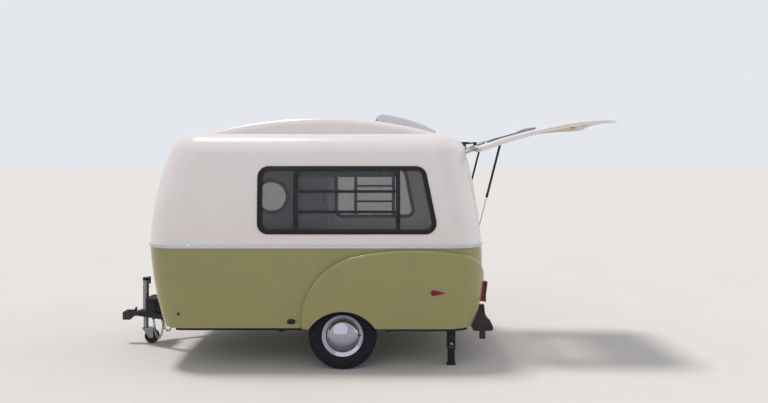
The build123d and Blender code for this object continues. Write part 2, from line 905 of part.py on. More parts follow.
def strut_rod(side):
    top = STRUT_LENGTH - STRUT_TUBE_L + STRUT_ROD_IN
    rod = rod_z(0, 0, STRUT_ROD_R, STRUT_EYE_R / 2, top)
    eye = rod_y(0, 0, STRUT_EYE_R, -STRUT_EYE_W / 2, STRUT_EYE_W / 2)
    hole = rod_y(0, 0, STUD_R, -FAR, FAR)
    return [along_strut(rod + eye - hole, side)]


# Cabin shells

def fender_outline():
    base = BODY_LOW_Z - FENDER_EDGE_R
    far_x = FENDER_END_X + FENDER_OUT * 4
    outline = [
        Line((FENDER_FRONT_X, base), (FENDER_FRONT_X, FENDER_RISE_Z)),
        ThreePointArc(
            (FENDER_FRONT_X, FENDER_RISE_Z),
            (FENDER_BEND_X, FENDER_BEND_Z),
            (FENDER_SHOULDER_X, FENDER_SHOULDER_Z),
        ),
        ThreePointArc(
            (FENDER_SHOULDER_X, FENDER_SHOULDER_Z),
            (FENDER_TOP_X, FENDER_TOP_Z),
            (FENDER_TAIL_X, FENDER_TAIL_Z),
        ),
        ThreePointArc(
            (FENDER_TAIL_X, FENDER_TAIL_Z),
            (FENDER_TURN_X, FENDER_TURN_Z),
            (FENDER_END_X, FENDER_END_Z),
        ),
        Line((FENDER_END_X, FENDER_END_Z), (far_x, FENDER_END_Z)),
        Line((far_x, FENDER_END_Z), (far_x, base)),
        Line((far_x, base), (FENDER_FRONT_X, base)),
    ]
    return make_face(outline)


def fender_tail_cut(z):
    """How much less the fenders stand out from the tail than from the sides."""
    return FENDER_TAIL_IN


def fender_form(proud=0):
    return lower_form(FENDER_OUT + proud, fender_tail_cut)


def fender():
    """One side's fender, from just inside the cabin's skin outwards."""
    block_out = side_prism(fender_outline(), FENDER_INNER_Y, FAR)
    solid = (fender_form() - lower_form(-WALL / 2)) & block_out
    inside = fender_form(-1)
    edges = []
    for edge in solid.edges():
        middle = edge.position_at(0.5)
        on_skin = not inside.solid().is_inside(middle)
        if on_skin and middle.Z > BODY_LOW_Z + 2 and middle.Y > FENDER_INNER_Y + 2:
            edges.append(edge)
    return fillet(edges, FENDER_EDGE_R)


def wheel_well(radius, inner_y, outer_y):
    return rod_y(0, TYRE_R, radius, inner_y, outer_y)


def lower_shell():
    shell = LOWER - (LOWER_IN & slab(BODY_LOW_Z + WALL, FAR))
    shell = shell + both_sides(fender())
    housing = wheel_well(WELL_R + WELL_T, WELL_INNER_Y - WELL_T, WELL_OUTER_Y)
    housing = housing & LOWER
    cavity = wheel_well(WELL_R, WELL_INNER_Y, WELL_OUTER_Y)
    arch = rod_y(0, ARCH_CENTRE_Z, ARCH_R, WELL_INNER_Y, FAR)
    shell = shell + both_sides(housing) - both_sides(cavity) - both_sides(arch)
    shell = shell - end_prism(hatch_outline(HATCH_GAP), 0, FAR)
    return [shell - side_prism(door_outline(DOOR_GAP), 0, FAR)]


def upper_shell():
    shell = UPPER - UPPER_IN
    for side, front_x, rear_x, mullions in SIDE_WINDOWS:
        shell = shell - side_prism(window_outline(front_x, rear_x), *side_span(side))
    shell = shell - end_prism(front_window_outline(), -FAR, 0)
    shell = shell - end_prism(hatch_outline(HATCH_GAP), 0, FAR)
    shell = shell - side_prism(door_outline(DOOR_GAP), 0, FAR)
    middle_x = (VENT_FRONT_X + VENT_REAR_X) / 2
    half = VENT_HOLE / 2
    return [shell - block(middle_x - half, middle_x + half, -half, half, ROOF_Z, FAR)]


def seam_strip():
    low = extrude(level_face(LOWER_LEVELS[-1], SEAM_PROUD), amount=SEAM_H / 2)
    high = extrude(level_face(LOWER_LEVELS[-1], SEAM_PROUD), amount=-SEAM_H / 2)
    strip = low + high - CABIN
    strip = strip - end_prism(hatch_outline(HATCH_GAP), 0, FAR)
    return (strip - side_prism(door_outline(DOOR_GAP), 0, FAR)).solids()


def cabin_floor():
    top = BODY_LOW_Z + WALL + FLOOR_T
    board = lower_form(-WALL - FIT_GAP) & slab(BODY_LOW_Z + WALL, top)
    housing = wheel_well(WELL_R + WELL_T + FIT_GAP, WELL_INNER_Y - WELL_T - FIT_GAP, FAR)
    return [board - both_sides(housing)]


# Inside

FLOOR_Z = BODY_LOW_Z + WALL + FLOOR_T


def bench_units():
    """Front board and top board of each side bench, over the wheel wells."""
    room = lower_form(-WALL - FIT_GAP)
    face = block(
        BENCH_FRONT_X, BENCH_REAR_X, BENCH_INNER_Y, BENCH_INNER_Y + BOARD_T, FLOOR_Z, BENCH_TOP_Z
    )
    top = block(
        BENCH_FRONT_X, BENCH_REAR_X, BENCH_INNER_Y, FAR, BENCH_TOP_Z - BOARD_T, BENCH_TOP_Z
    )
    end = block(BENCH_FRONT_X, BENCH_FRONT_X + BOARD_T, BENCH_INNER_Y, FAR, FLOOR_Z, BENCH_TOP_Z)
    housing = wheel_well(WELL_R + WELL_T + FIT_GAP, WELL_INNER_Y - WELL_T - FIT_GAP, FAR)
    bench = ((face + top + end) & room) - housing
    return both_sides(bench).solids()


def cushions():
    room = lower_form(-WALL - FIT_GAP * 4)
    seats = []
    length = (BENCH_REAR_X - BENCH_FRONT_X) / 2
    for index in range(2):
        start = BENCH_FRONT_X + index * length
        pad = block(
            start + FIT_GAP,
            start + length - FIT_GAP,
            BENCH_INNER_Y,
            FAR,
            BENCH_TOP_Z + FIT_GAP / 2,
            BENCH_TOP_Z + CUSHION_T,
        )
        pad = pad & room
        seats += both_sides(pad).solids()
    return seats


def counter():
    room = lower_form(-WALL - FIT_GAP)
    top = block(-FAR, COUNTER_REAR_X, -FAR, FAR, COUNTER_TOP_Z - BOARD_T, COUNTER_TOP_Z)
    face = block(
        COUNTER_REAR_X - BOARD_T * 2, COUNTER_REAR_X - BOARD_T, -FAR, FAR, FLOOR_Z, COUNTER_TOP_Z
    )
    return [(top + face) & room]


def wardrobe():
    room = lower_form(-WALL - FIT_GAP) + upper_form(-WALL - FIT_GAP)
    housing = wheel_well(WELL_R + WELL_T + FIT_GAP, WELL_INNER_Y - WELL_T - FIT_GAP, FAR)
    box = block(
        WARDROBE_FRONT_X,
        WARDROBE_REAR_X,
        WARDROBE_INNER_Y,
        FAR,
        FLOOR_Z,
        WARDROBE_TOP_Z,
    )
    return [(box & room) - housing]


# Wheels

def turned_wheel(face, y, side):
    """A face drawn with x as radius and y as distance outwards, turned about the axle."""
    solid = revolve(Plane.XZ * face, axis=Axis.Z)
    return Pos(0, side * y, TYRE_R) * Rot(-90 * side, 0, 0) * solid


def tyre(side):
    half = TYRE_W / 2
    tread = TYRE_TREAD_W / 2
    points = [
        (RIM_R, -RIM_W / 2),
        (RIM_R + TYRE_BEAD_H, -half),
        (TYRE_R - TYRE_SHOULDER_H, -half),
        (TYRE_R - TYRE_CROWN, -tread),
        (TYRE_R, 0),
        (TYRE_R - TYRE_CROWN, tread),
        (TYRE_R - TYRE_SHOULDER_H, half),
        (RIM_R + TYRE_BEAD_H, half),
        (RIM_R, RIM_W / 2),
    ]
    face = make_face(Polyline(*points, close=True))
    corners = [v for v in face.vertices() if abs(v.Y) > tread - 1 and v.X > RIM_R + 1]
    face = fillet(corners, TYRE_EDGE_R)
    return [turned_wheel(face, WHEEL_Y, side)]


def rim(side):
    """Barrel with lips, and a dished disc with the hub behind it."""
    half = RIM_W / 2
    well = RIM_R - RIM_T
    lip = RIM_R - RIM_LIP
    barrel = [
        (lip, -half),
        (RIM_R, -half),
        (RIM_R, half),
        (lip, half),
        (lip, half - RIM_T),
        (well, half - 2 * RIM_T),
        (well, -half + 2 * RIM_T),
        (lip, -half + RIM_T),
    ]
    bore = SPINDLE_R + SPINDLE_PLAY
    disc = [
        (bore, DISC_OUT - HUB_L),
        (HUB_R, DISC_OUT - HUB_L),
        (HUB_R, DISC_OUT - DISC_T),
        (well, DISC_OUT - DISC_T - DISC_DISH),
        (well, DISC_OUT - DISC_DISH),
        (HUB_R, DISC_OUT),
        (bore, DISC_OUT),
    ]
    barrel_solid = turned_wheel(make_face(Polyline(*barrel, close=True)), WHEEL_Y, side)
    return [barrel_solid + turned_wheel(make_face(Polyline(*disc, close=True)), WHEEL_Y, side)]


def hubcap(side):
    """Chrome trim ring and domed cap."""
    base = RIM_W / 2 + CAP_SEAT
    inner = CAP_R + CAP_FLANGE_W
    ring = [
        (inner, base),
        (RIM_R, base),
        (TRIM_RING_R, TYRE_W / 2 + TRIM_EDGE_IN),
        (TRIM_RING_R, TYRE_W / 2 + TRIM_EDGE_OUT),
        (inner, base + TRIM_RING_T),
    ]
    ring_solid = turned_wheel(make_face(Polyline(*ring, close=True)), WHEEL_Y, side)
    shoulder = base + CAP_PROUD
    dome_r = (CAP_R**2 + CAP_BULGE**2) / (2 * CAP_BULGE)
    outer = [
        Line((0, base), (inner, base)),
        Line((inner, base), (inner, base + CAP_FLANGE_T)),
        Line((inner, base + CAP_FLANGE_T), (CAP_R, shoulder)),
        RadiusArc((CAP_R, shoulder), (0, shoulder + CAP_BULGE), -dome_r),
        Line((0, shoulder + CAP_BULGE), (0, base)),
    ]
    dome = turned_wheel(make_face(outer), WHEEL_Y, side)
    return [ring_solid + dome]


def axle_beam():
    tube = block(
        -AXLE_LEAD - AXLE_TUBE / 2,
        -AXLE_LEAD + AXLE_TUBE / 2,
        -AXLE_HALF,
        AXLE_HALF,
        BODY_LOW_Z - RAIL_H - AXLE_TUBE,
        BODY_LOW_Z - RAIL_H,
    )
    return [tube]


AXLE_Z = BODY_LOW_Z - RAIL_H - AXLE_TUBE / 2


def swing_arms():
    """Trailing arms from the axle tube's ends, each with its spindle."""
    inner = AXLE_HALF
    outer = AXLE_HALF + SWING_ARM_T
    half = SWING_ARM_H / 2
    arm = rod_y(-AXLE_LEAD, AXLE_Z, half, inner, outer)
    arm = arm + rod_y(0, TYRE_R, half, inner, outer)
    lean = degrees(atan2(AXLE_Z - TYRE_R, AXLE_LEAD))
    length = hypot(AXLE_Z - TYRE_R, AXLE_LEAD)
    web = Pos(-AXLE_LEAD / 2, (inner + outer) / 2, (AXLE_Z + TYRE_R) / 2)
    arm = arm + web * Rot(0, lean, 0) * Box(length, SWING_ARM_T, SWING_ARM_H)
    tip = WHEEL_Y + DISC_OUT
    arm = arm + rod_y(0, TYRE_R, SPINDLE_R, inner, tip)
    return both_sides(arm).solids()


# Chassis and nose

def chassis_frame():
    low = BODY_LOW_Z - RAIL_H
    half = RAIL_W / 2
    rails = block(
        CHASSIS_FRONT_X, CHASSIS_REAR_X, MAIN_RAIL_Y - half, MAIN_RAIL_Y + half, low, BODY_LOW_Z
    )
    half = EDGE_RAIL_W / 2
    edge_low = BODY_LOW_Z - EDGE_RAIL_H
    rails = rails + block(
        CHASSIS_FRONT_X + EDGE_RAIL_FRONT_IN,
        CHASSIS_REAR_X - EDGE_RAIL_REAR_IN,
        EDGE_RAIL_Y - half,
        EDGE_RAIL_Y + half,
        edge_low,
        BODY_LOW_Z,
    )
    for x in CROSS_PLACES:
        reach = EDGE_RAIL_Y if x > CHASSIS_FRONT_X + EDGE_RAIL_FRONT_IN else MAIN_RAIL_Y
        half = CROSS_W / 2
        rails = rails + block(x - half, x + half, 0, reach, low, BODY_LOW_Z)
    wheel = wheel_well(WELL_R, WELL_INNER_Y, FAR)
    return [both_sides(rails - wheel)]


def along_arm(solid):
    """Place a piece drawn along +X from the apex under the right arm."""
    return Pos(APEX_X, 0, 0) * Rot(0, 0, ARM_ANGLE) * solid


CHAIN_END = CHAIN_STRAIGHT + CHAIN_BEND_R * cos(radians(30))
CHAIN_HOOK = CHAIN_WIRE_R * (1 + cos(radians(180 / CHAIN_SIDES))) + CHAIN_PLAY
LUG_Z = BODY_LOW_Z - RAIL_H - ARM_H - LUG_DROP


def chain_steps():
    """Place, direction and kind of each link as the chain hangs between its lugs.

    Every second link stands across the loop.  The links between them hook round its
    two ends, so their steps are shorter by the hook at each end.
    """
    lengths = [2 * CHAIN_END - (0 if n % 2 else 2 * CHAIN_HOOK) for n in range(CHAIN_LINKS)]
    middle = sum(lengths) / 2
    x, z, run = CHAIN_START, LUG_Z, 0
    steps = []
    for n, length in enumerate(lengths):
        slope = atan2(run + length / 2 - middle, CHAIN_SPREAD)
        dx, dz = cos(slope) * length, sin(slope) * length
        steps.append((x + dx / 2, z + dz / 2, -degrees(slope), n % 2))
        x, z, run = x + dx, z + dz, run + length
    return steps, x


def chain_link():
    """One link lying in x and z, its wire a many-sided bar bent in flat steps."""
    corners = [
        (end * (CHAIN_STRAIGHT + CHAIN_BEND_R * cos(radians(a))), CHAIN_BEND_R * sin(radians(a)))
        for end, angles in ((1, (-90, -30, 30, 90)), (-1, (90, 30, -30, -90)))
        for a in angles
    ]
    path = Polyline(*[(x, 0, z) for x, z in corners], close=True)
    turn = 180 / CHAIN_SIDES
    section = Plane(origin=path @ 0, z_dir=path % 0, x_dir=(0, 1, 0)) * RegularPolygon(
        CHAIN_WIRE_R, CHAIN_SIDES, rotation=turn
    )
    return sweep(section, path, transition=Transition.RIGHT)


def safety_chains():
    link = chain_link()
    links = []
    for x, z, lean, across in chain_steps()[0]:
        placed = Pos(x, 0, z) * Rot(0, lean, 0) * Rot(90 * across, 0, 0) * link
        links.append(along_arm(placed))
    return links + [mirror(piece, about=Plane.XZ) for piece in links]


def chain_lugs():
    """A pin in two cheeks for each end of a chain, under the arm."""
    lugs = []
    for x in (CHAIN_START, chain_steps()[1]):
        lug = rod_y(x, LUG_Z, CHAIN_WIRE_R, -LUG_HALF, LUG_HALF)
        for y in (-LUG_HALF, LUG_HALF - LUG_T):
            top = LUG_Z + LUG_DROP + ARM_H / 2
            lug = lug + rod_y(x, LUG_Z, LUG_R, y, y + LUG_T)
            lug = lug + block(x - LUG_R, x + LUG_R, y, y + LUG_T, LUG_Z, top)
        lugs.append(along_arm(lug))
    return lugs


def a_frame():
    """Two arms that meet at the coupler, with a plate at the apex for the jack."""
    high = BODY_LOW_Z - RAIL_H
    low = high - ARM_H
    length = (ARM_REAR_X - APEX_X) / cos(radians(ARM_ANGLE))
    bar = Box(length, ARM_W, ARM_H, align=(Align.MIN, Align.CENTER, Align.CENTER))
    bar = Pos(APEX_X, 0, (low + high) / 2) * Rot(0, 0, ARM_ANGLE) * bar
    for lug in chain_lugs():
        bar = bar + lug
    frame = both_sides(bar)
    front = APEX_X + APEX_TRIM
    rear = front + APEX_PLATE_L
    spread = APEX_PLATE_HALF + APEX_PLATE_L * tan(radians(ARM_ANGLE))
    frame = frame - block(-FAR, front, -FAR, FAR, 0, FAR)
    plate = make_face(
        Polyline(
            (front, -APEX_PLATE_HALF),
            (front, APEX_PLATE_HALF),
            (rear, spread),
            (rear, -spread),
            close=True,
        )
    )
    frame = frame + Pos(0, 0, high) * extrude(plate, amount=APEX_PLATE_T)
    frame = frame - rod_z(JACK_X, 0, JACK_TUBE_R, 0, FAR)
    return [frame - coupler_form()]


def coupler_form():
    """Outer form of the pressed coupler."""
    nose = COUPLER_NOSE_X
    back = nose + 2 * BALL_IN
    neck_z = COUPLER_LOW_Z + COUPLER_STEP
    points = [
        (nose, COUPLER_LOW_Z),
        (back, COUPLER_LOW_Z),
        (back + COUPLER_STEP, neck_z),
        (COUPLER_REAR_X, neck_z),
        (COUPLER_REAR_X, COUPLER_HIGH_Z),
        (nose + COUPLER_CHAMFER, COUPLER_HIGH_Z),
        (nose, COUPLER_HIGH_Z - COUPLER_CHAMFER),
    ]
    half = COUPLER_W / 2
    form = side_prism(make_face(Polyline(*points, close=True)), -half, half)
    upright = form.edges().filter_by(Axis.Z)
    front = [edge for edge in upright if edge.center().X < nose + 1]
    return fillet(front, COUPLER_NOSE_R)


def coupler():
    form = coupler_form()
    ball_x = COUPLER_NOSE_X + BALL_IN
    ball = Pos(ball_x, 0, BALL_Z) * Sphere(BALL_R + BALL_PLAY)
    throat = rod_z(ball_x, 0, BALL_R + BALL_PLAY, 0, BALL_Z)
    lever = [
        (ball_x, COUPLER_HIGH_Z),
        (ball_x + LEVER_L, COUPLER_HIGH_Z),
        (ball_x + LEVER_L, COUPLER_HIGH_Z + LEVER_H),
        (ball_x + LEVER_L - LEVER_T, COUPLER_HIGH_Z + LEVER_H),
        (ball_x + LEVER_L - 2 * LEVER_T, COUPLER_HIGH_Z + LEVER_T),
        (ball_x, COUPLER_HIGH_Z + LEVER_T),
    ]
    half = LEVER_W / 2
    lever = side_prism(make_face(Polyline(*lever, close=True)), -half, half)
    return [form + lever - ball - throat]


def jack_tube():
    """Outer tube, open at both ends."""
    low = BODY_LOW_Z - RAIL_H - ARM_H
    tube = rod_z(JACK_X, 0, JACK_TUBE_R, low, JACK_TOP_Z)
    return [tube - rod_z(JACK_X, 0, JACK_LEG_R + JACK_PLAY, low, JACK_TOP_Z)]


def jack_crank():
    """Cap on the outer tube with the crank, its arm turned away and its grip down."""
    cap = rod_z(JACK_X, 0, JACK_TUBE_R + CRANK_CAP_LIP, JACK_TOP_Z, JACK_TOP_Z + CRANK_CAP_H)
    arm_z = JACK_TOP_Z + CRANK_CAP_H / 2
    end_y = JACK_TUBE_R + CRANK_L
    arm = rod_y(JACK_X, arm_z, CRANK_R, 0, end_y)
    grip = rod_z(JACK_X, end_y - CRANK_R, CRANK_GRIP_R, arm_z - CRANK_GRIP_L, arm_z + CRANK_R)
    return [cap + arm + grip]


def jack_leg():
    leg = rod_z(JACK_X, 0, JACK_LEG_R, JACK_LEG_LOW_Z, JACK_LEG_TOP_Z)
    top = JACK_LEG_LOW_Z + SWIVEL_L + SWIVEL_HEADROOM
    return [leg - rod_z(JACK_X, 0, SWIVEL_R + JACK_PLAY, JACK_LEG_LOW_Z, top)]


WHEEL_X = JACK_X + JOCKEY_TRAIL


def jack_fork():
    crown_low = 2 * JOCKEY_R + CROWN_GAP
    half = JOCKEY_W / 2 + FORK_GAP
    crown_high = crown_low + CROWN_T
    front = JACK_X - JACK_LEG_R - CROWN_LIP
    outer = half + FORK_T
    rear = WHEEL_X + FORK_REAR
    crown = block(front, rear, -outer, outer, crown_low, crown_high)
    side_points = [
        (front, crown_low),
        (rear, crown_low),
        (rear, JOCKEY_R - FORK_DROP),
        (WHEEL_X - FORK_REAR, JOCKEY_R - FORK_DROP),
    ]
    cheek = make_face(Polyline(*side_points, close=True))
    cheeks = side_prism(cheek, half, outer)
    pivot = rod_z(JACK_X, 0, SWIVEL_R, crown_low, JACK_LEG_LOW_Z + SWIVEL_L)
    collar = rod_z(JACK_X, 0, JACK_LEG_R, crown_high, JACK_LEG_LOW_Z - HINGE_PLAY)
    axle = rod_y(WHEEL_X, JOCKEY_R, JOCKEY_AXLE_R, -half - FORK_T * 2, half + FORK_T * 2)
    return [crown + both_sides(cheeks) + pivot + collar + axle]


def jockey_wheel():
    half = JOCKEY_W / 2
    bore = JOCKEY_AXLE_R + SPINDLE_PLAY
    web = half - JOCKEY_DISH
    tyre_in = JOCKEY_R - JOCKEY_TYRE_H
    halves = []
    for end in (-1, 1):
        points = [
            (bore, 0),
            (bore, end * half),
            (JOCKEY_HUB_R, end * half),
            (JOCKEY_HUB_R, end * web),
            (tyre_in - JOCKEY_DISH, end * web),
            (tyre_in, end * half),
            (JOCKEY_R, end * half),
            (JOCKEY_R, 0),
        ]
        halves.append(make_face(Polyline(*points, close=True)))
    face = halves[0] + halves[1]
    rim = [v for v in face.vertices() if v.X > JOCKEY_R - 1]
    face = fillet(rim, JOCKEY_EDGE_R)
    solid = revolve(Plane.XZ * face, axis=Axis.Z)
    return [Pos(WHEEL_X, 0, JOCKEY_R) * Rot(90, 0, 0) * solid]


def battery_box():
    base = BODY_LOW_Z - RAIL_H + APEX_PLATE_T
    half = BATTERY_W / 2
    rear = BATTERY_FRONT_X + BATTERY_L
    box = block(BATTERY_FRONT_X, rear, -half, half, base, base + BATTERY_H)
    box = fillet(box.edges().filter_by(Axis.Z), BATTERY_EDGE_R)
    lid = block(
        BATTERY_FRONT_X - BATTERY_LIP,
        rear + BATTERY_LIP,
        -half - BATTERY_LIP,
        half + BATTERY_LIP,
        base + BATTERY_H - BATTERY_LID_H,
        base + BATTERY_H,
    )
    return [box + fillet(lid.edges().filter_by(Axis.Z), BATTERY_EDGE_R + BATTERY_LIP)]


# Rear legs, bumper, lamps

def stabiliser_legs():
    half = LEG_SLEEVE / 2
    sleeve_top = BODY_LOW_Z - RAIL_H
    sleeve = block(
        LEG_X - half, LEG_X + half, LEG_Y - half, LEG_Y + half, LEG_SLEEVE_LOW_Z, sleeve_top
    )
    half = LEG_INNER / 2
    inner = block(
        LEG_X - half, LEG_X + half, LEG_Y - half, LEG_Y + half, 0, LEG_SLEEVE_LOW_Z
    )
    half = LEG_FOOT / 2
    foot = block(LEG_X - half, LEG_X + half, LEG_Y - half, LEG_Y + half, 0, LEG_FOOT_T)
    return both_sides(sleeve + inner + foot).solids()


def step_bumper():
    """Step along the tail on two brackets, with an upright gusset at each end."""
    back = make_face(
        [
            Line((BUMPER_FRONT_X, STEP_Z), (STEP_REAR_X, STEP_Z)),
            ThreePointArc((STEP_REAR_X, STEP_Z), BUMPER_BEND, (BUMPER_REAR_X, BUMPER_NOSE_Z)),
            Line((BUMPER_REAR_X, BUMPER_NOSE_Z), (BUMPER_REAR_X - BUMPER_TUCK, BUMPER_LOW_Z)),
            Line((BUMPER_REAR_X - BUMPER_TUCK, BUMPER_LOW_Z), (BUMPER_FRONT_X, BUMPER_LOW_Z)),
            Line((BUMPER_FRONT_X, BUMPER_LOW_Z), (BUMPER_FRONT_X, STEP_Z)),
        ]
    )
    step = side_prism(back, -BUMPER_HALF, BUMPER_HALF)
    rise = Polyline(
        (BUMPER_FRONT_X, BUMPER_LOW_Z),
        (BUMPER_FRONT_X, GUSSET_TOP_Z),
        (STEP_REAR_X - GUSSET_LEAN, GUSSET_TOP_Z),
        (STEP_REAR_X, STEP_Z),
        (BUMPER_REAR_X, BUMPER_NOSE_Z),
        (BUMPER_REAR_X - BUMPER_TUCK, BUMPER_LOW_Z),
        close=True,
    )
    plate = side_prism(make_face(rise), BUMPER_HALF - GUSSET_W, BUMPER_HALF)
    plate = plate + block(
        STEP_REAR_X - FOOT_BRACKET_L,
        STEP_REAR_X,
        BUMPER_HALF - GUSSET_W,
        BUMPER_HALF,
        BUMPER_LOW_Z - FOOT_BRACKET_H,
        BUMPER_LOW_Z,
    )
    half = RAIL_W / 2
    plate = plate + block(
        CHASSIS_REAR_X,
        BUMPER_FRONT_X,
        MAIN_RAIL_Y - half,
        MAIN_RAIL_Y + half,
        BODY_LOW_Z - RAIL_H,
        BODY_LOW_Z,
    )
    return (step + both_sides(plate) - fender_form()).solids()


def tail_lights():
    points = [
        (TAIL_LIGHT_Y - TAIL_LIGHT_W / 2, TAIL_LIGHT_LOW_Z),
        (TAIL_LIGHT_Y + TAIL_LIGHT_W / 2, TAIL_LIGHT_LOW_Z),
        (TAIL_LIGHT_Y + TAIL_LIGHT_W / 2, TAIL_LIGHT_HIGH_Z),
        (TAIL_LIGHT_Y - TAIL_LIGHT_W / 2, TAIL_LIGHT_HIGH_Z),
    ]
    field = end_prism(rounded(points, TAIL_LIGHT_W / 2 - 1), 0, FAR)
    lamp = (fender_form(TAIL_LIGHT_PROUD) - fender_form()) & field
    return both_sides(lamp).solids()


def marker_outline():
    """Teardrop, blunt end forwards."""
    radius = MARKER_H / 2
    front = MARKER_X - MARKER_L / 2
    bulb = Pos(front + radius, MARKER_Z) * Circle(radius)
    tail = make_face(
        Polyline(
            (front + radius, MARKER_Z + radius),
            (front + radius, MARKER_Z - radius),
            (MARKER_X + MARKER_L / 2, MARKER_Z),
            close=True,
        )
    )
    return bulb + tail


def side_markers():
    rear_band = fender_form(TRIM_PROUD) - fender_form()
    rear = rear_band & side_prism(marker_outline(), 0, FAR)
    front_band = lower_form(TRIM_PROUD) - LOWER
    front = front_band & rod_y(FRONT_MARKER_X, FRONT_MARKER_Z, FRONT_MARKER_R, 0, FAR)
    return [*both_sides(rear).solids(), *both_sides(front).solids()]


def cable_port():
    band = lower_form(TRIM_PROUD) - LOWER
    field = Pos(PORT_X, PORT_Z) * Ellipse(PORT_L / 2, PORT_H / 2)
    return [band & side_prism(field, -FAR, 0)]


# Roof vent

def vent_height(x):
    return height_on_ridge(x) + VENT_CURB + VENT_GAP


VENT_TILT = degrees(
    atan2(
        height_on_ridge(VENT_FRONT_X) - height_on_ridge(VENT_REAR_X), VENT_REAR_X - VENT_FRONT_X
    )
)
VENT_AXIS_X = VENT_FRONT_X - VENT_HINGE_R
VENT_AXIS_Z = vent_height(VENT_FRONT_X) + VENT_HINGE_R


def vent_base():
    """Flat curb round the roof hole, with two hinge lugs at the front."""
    middle_x = (VENT_FRONT_X + VENT_REAR_X) / 2
    half = VENT_HOLE / 2
    inset = VENT_WALL * 2
    reach = VENT_HALF - inset
    ring = block(VENT_FRONT_X + inset, VENT_REAR_X - inset, -reach, reach, ROOF_Z, FAR)
    hole = block(middle_x - half, middle_x + half, -half, half, 0, FAR)
    grown = ridge_blank(VENT_CURB)
    base = ((grown - UPPER) & ring) - hole
    for y in (-VENT_HINGE_Y, VENT_HINGE_Y):
        low = y - VENT_HINGE_L / 2
        high = y + VENT_HINGE_L / 2
        lug = rod_y(VENT_AXIS_X, VENT_AXIS_Z, VENT_HINGE_R, low, high)
        foot = block(
            VENT_AXIS_X - VENT_HINGE_R,
            VENT_FRONT_X + inset,
            low,
            high,
            ROOF_Z,
            vent_height(VENT_FRONT_X) - VENT_GAP,
        )
        neck = block(
            VENT_AXIS_X - VENT_HINGE_R,
            VENT_AXIS_X + VENT_HINGE_R,
            low,
            high,
            ROOF_Z,
            VENT_AXIS_Z,
        )
        lug = lug + foot + neck - UPPER
        pin = rod_y(
            VENT_AXIS_X, VENT_AXIS_Z, VENT_HINGE_PIN_R, low - VENT_HINGE_L, high + VENT_HINGE_L
        )
        base = base + lug + pin
    return [base]


def vent_form(inset):
    """Hood drawn level from its front edge, then tilted onto the roof."""
    length = (VENT_REAR_X - VENT_FRONT_X) / cos(radians(VENT_TILT))
    top = VENT_H - inset
    front = (inset, VENT_FACE_H)
    nose = (inset + VENT_NOSE_L, top)
    crest = (length * VENT_CREST_AT, top + VENT_CREST_RISE)
    rear = (length - inset, VENT_REAR_H - inset)
    outline = [
        Line((inset, -VENT_SKIRT), front),
        ThreePointArc(front, (inset + VENT_NOSE_L / 4, top - VENT_NOSE_DROP), nose),
        ThreePointArc(nose, crest, rear),
        Line(rear, (length - inset, -VENT_SKIRT)),
        Line((length - inset, -VENT_SKIRT), (inset, -VENT_SKIRT)),
    ]
    half = VENT_HALF - inset
    hood = side_prism(make_face(outline), -half, half)
    edges = []
    for edge in hood.edges():
        middle = edge.center()
        if abs(middle.Y) > half - 1 and middle.Z > VENT_REAR_H / 2:
            edges.append(edge)
    hood = fillet(edges, VENT_EDGE_R - inset)
    place = Pos(VENT_FRONT_X, 0, height_on_ridge(VENT_FRONT_X) + VENT_CURB)
    return place * Rot(0, VENT_TILT, 0) * hood


def vent_lid():
    lid = vent_form(0) - vent_form(VENT_WALL)
    lid = lid - ridge_blank(VENT_CURB + VENT_GAP)
    for y in (-VENT_HINGE_Y, VENT_HINGE_Y):
        for side in (-1, 1):
            inner = y + side * (VENT_HINGE_L / 2 + HINGE_PLAY)
            outer = y + side * VENT_HINGE_L * 1.5
            low = min(inner, outer)
            high = max(inner, outer)
            ear = rod_y(VENT_AXIS_X, VENT_AXIS_Z, VENT_HINGE_R, low, high)
            ear = ear + block(
                VENT_AXIS_X,
                VENT_FRONT_X + VENT_WALL,
                low,
                high,
                VENT_AXIS_Z,
                VENT_AXIS_Z + VENT_HINGE_R,
            )
            bore = rod_y(
                VENT_AXIS_X, VENT_AXIS_Z, VENT_HINGE_PIN_R + HINGE_PIN_PLAY, low, high
            )
            lid = lid + (ear - bore)
    return [lid]


# Everything, by name

SIDES = [("left", -1), ("right", 1)]


SINGLE = {
    "chassis_frame": chassis_frame,
    "a_frame": a_frame,
    "coupler": coupler,
    "safety_chains": safety_chains,
    "axle_beam": axle_beam,
    "swing_arms": swing_arms,
    "lower_shell": lower_shell,
    "upper_shell": upper_shell,
    "seam_strip": seam_strip,
    "cabin_floor": cabin_floor,
    "side_window_frames": side_window_frames,
    "front_window_frame": front_window_frame,
    "window_glass": window_glass,
    "entry_door": entry_door,
    "door_hinges": door_hinges,
    "door_latch": door_latch,
    "porthole_frame": porthole_frame,
    "porthole_glass": porthole_glass,
    "hatch_skin": hatch_skin,
    "hatch_lining": hatch_lining,
    "hatch_window_frame": hatch_window_frame,
    "hatch_window_glass": hatch_window_glass,
    "hatch_hinges": hatch_hinges,
    "hinge_brackets": hinge_brackets,
    "hatch_jamb": hatch_jamb,
    "jack_tube": jack_tube,
    "jack_crank": jack_crank,
    "jack_leg": jack_leg,
    "jack_fork": jack_fork,
    "jockey_wheel": jockey_wheel,
    "battery_box": battery_box,
    "stabiliser_legs": stabiliser_legs,
    "step_bumper": step_bumper,
    "tail_lights": tail_lights,
    "side_markers": side_markers,
    "cable_port": cable_port,
    "vent_base": vent_base,
    "vent_lid": vent_lid,
    "bench_units": bench_units,
    "cushions": cushions,
    "counter": counter,
    "wardrobe": wardrobe,
}
PAIRED = {
    "tyre": tyre,
    "rim": rim,
    "hubcap": hubcap,
    "strut_tube": strut_tube,
    "strut_rod": strut_rod,
}


def solids_of(pieces):
    return [solid for piece in pieces for solid in piece.solids()]


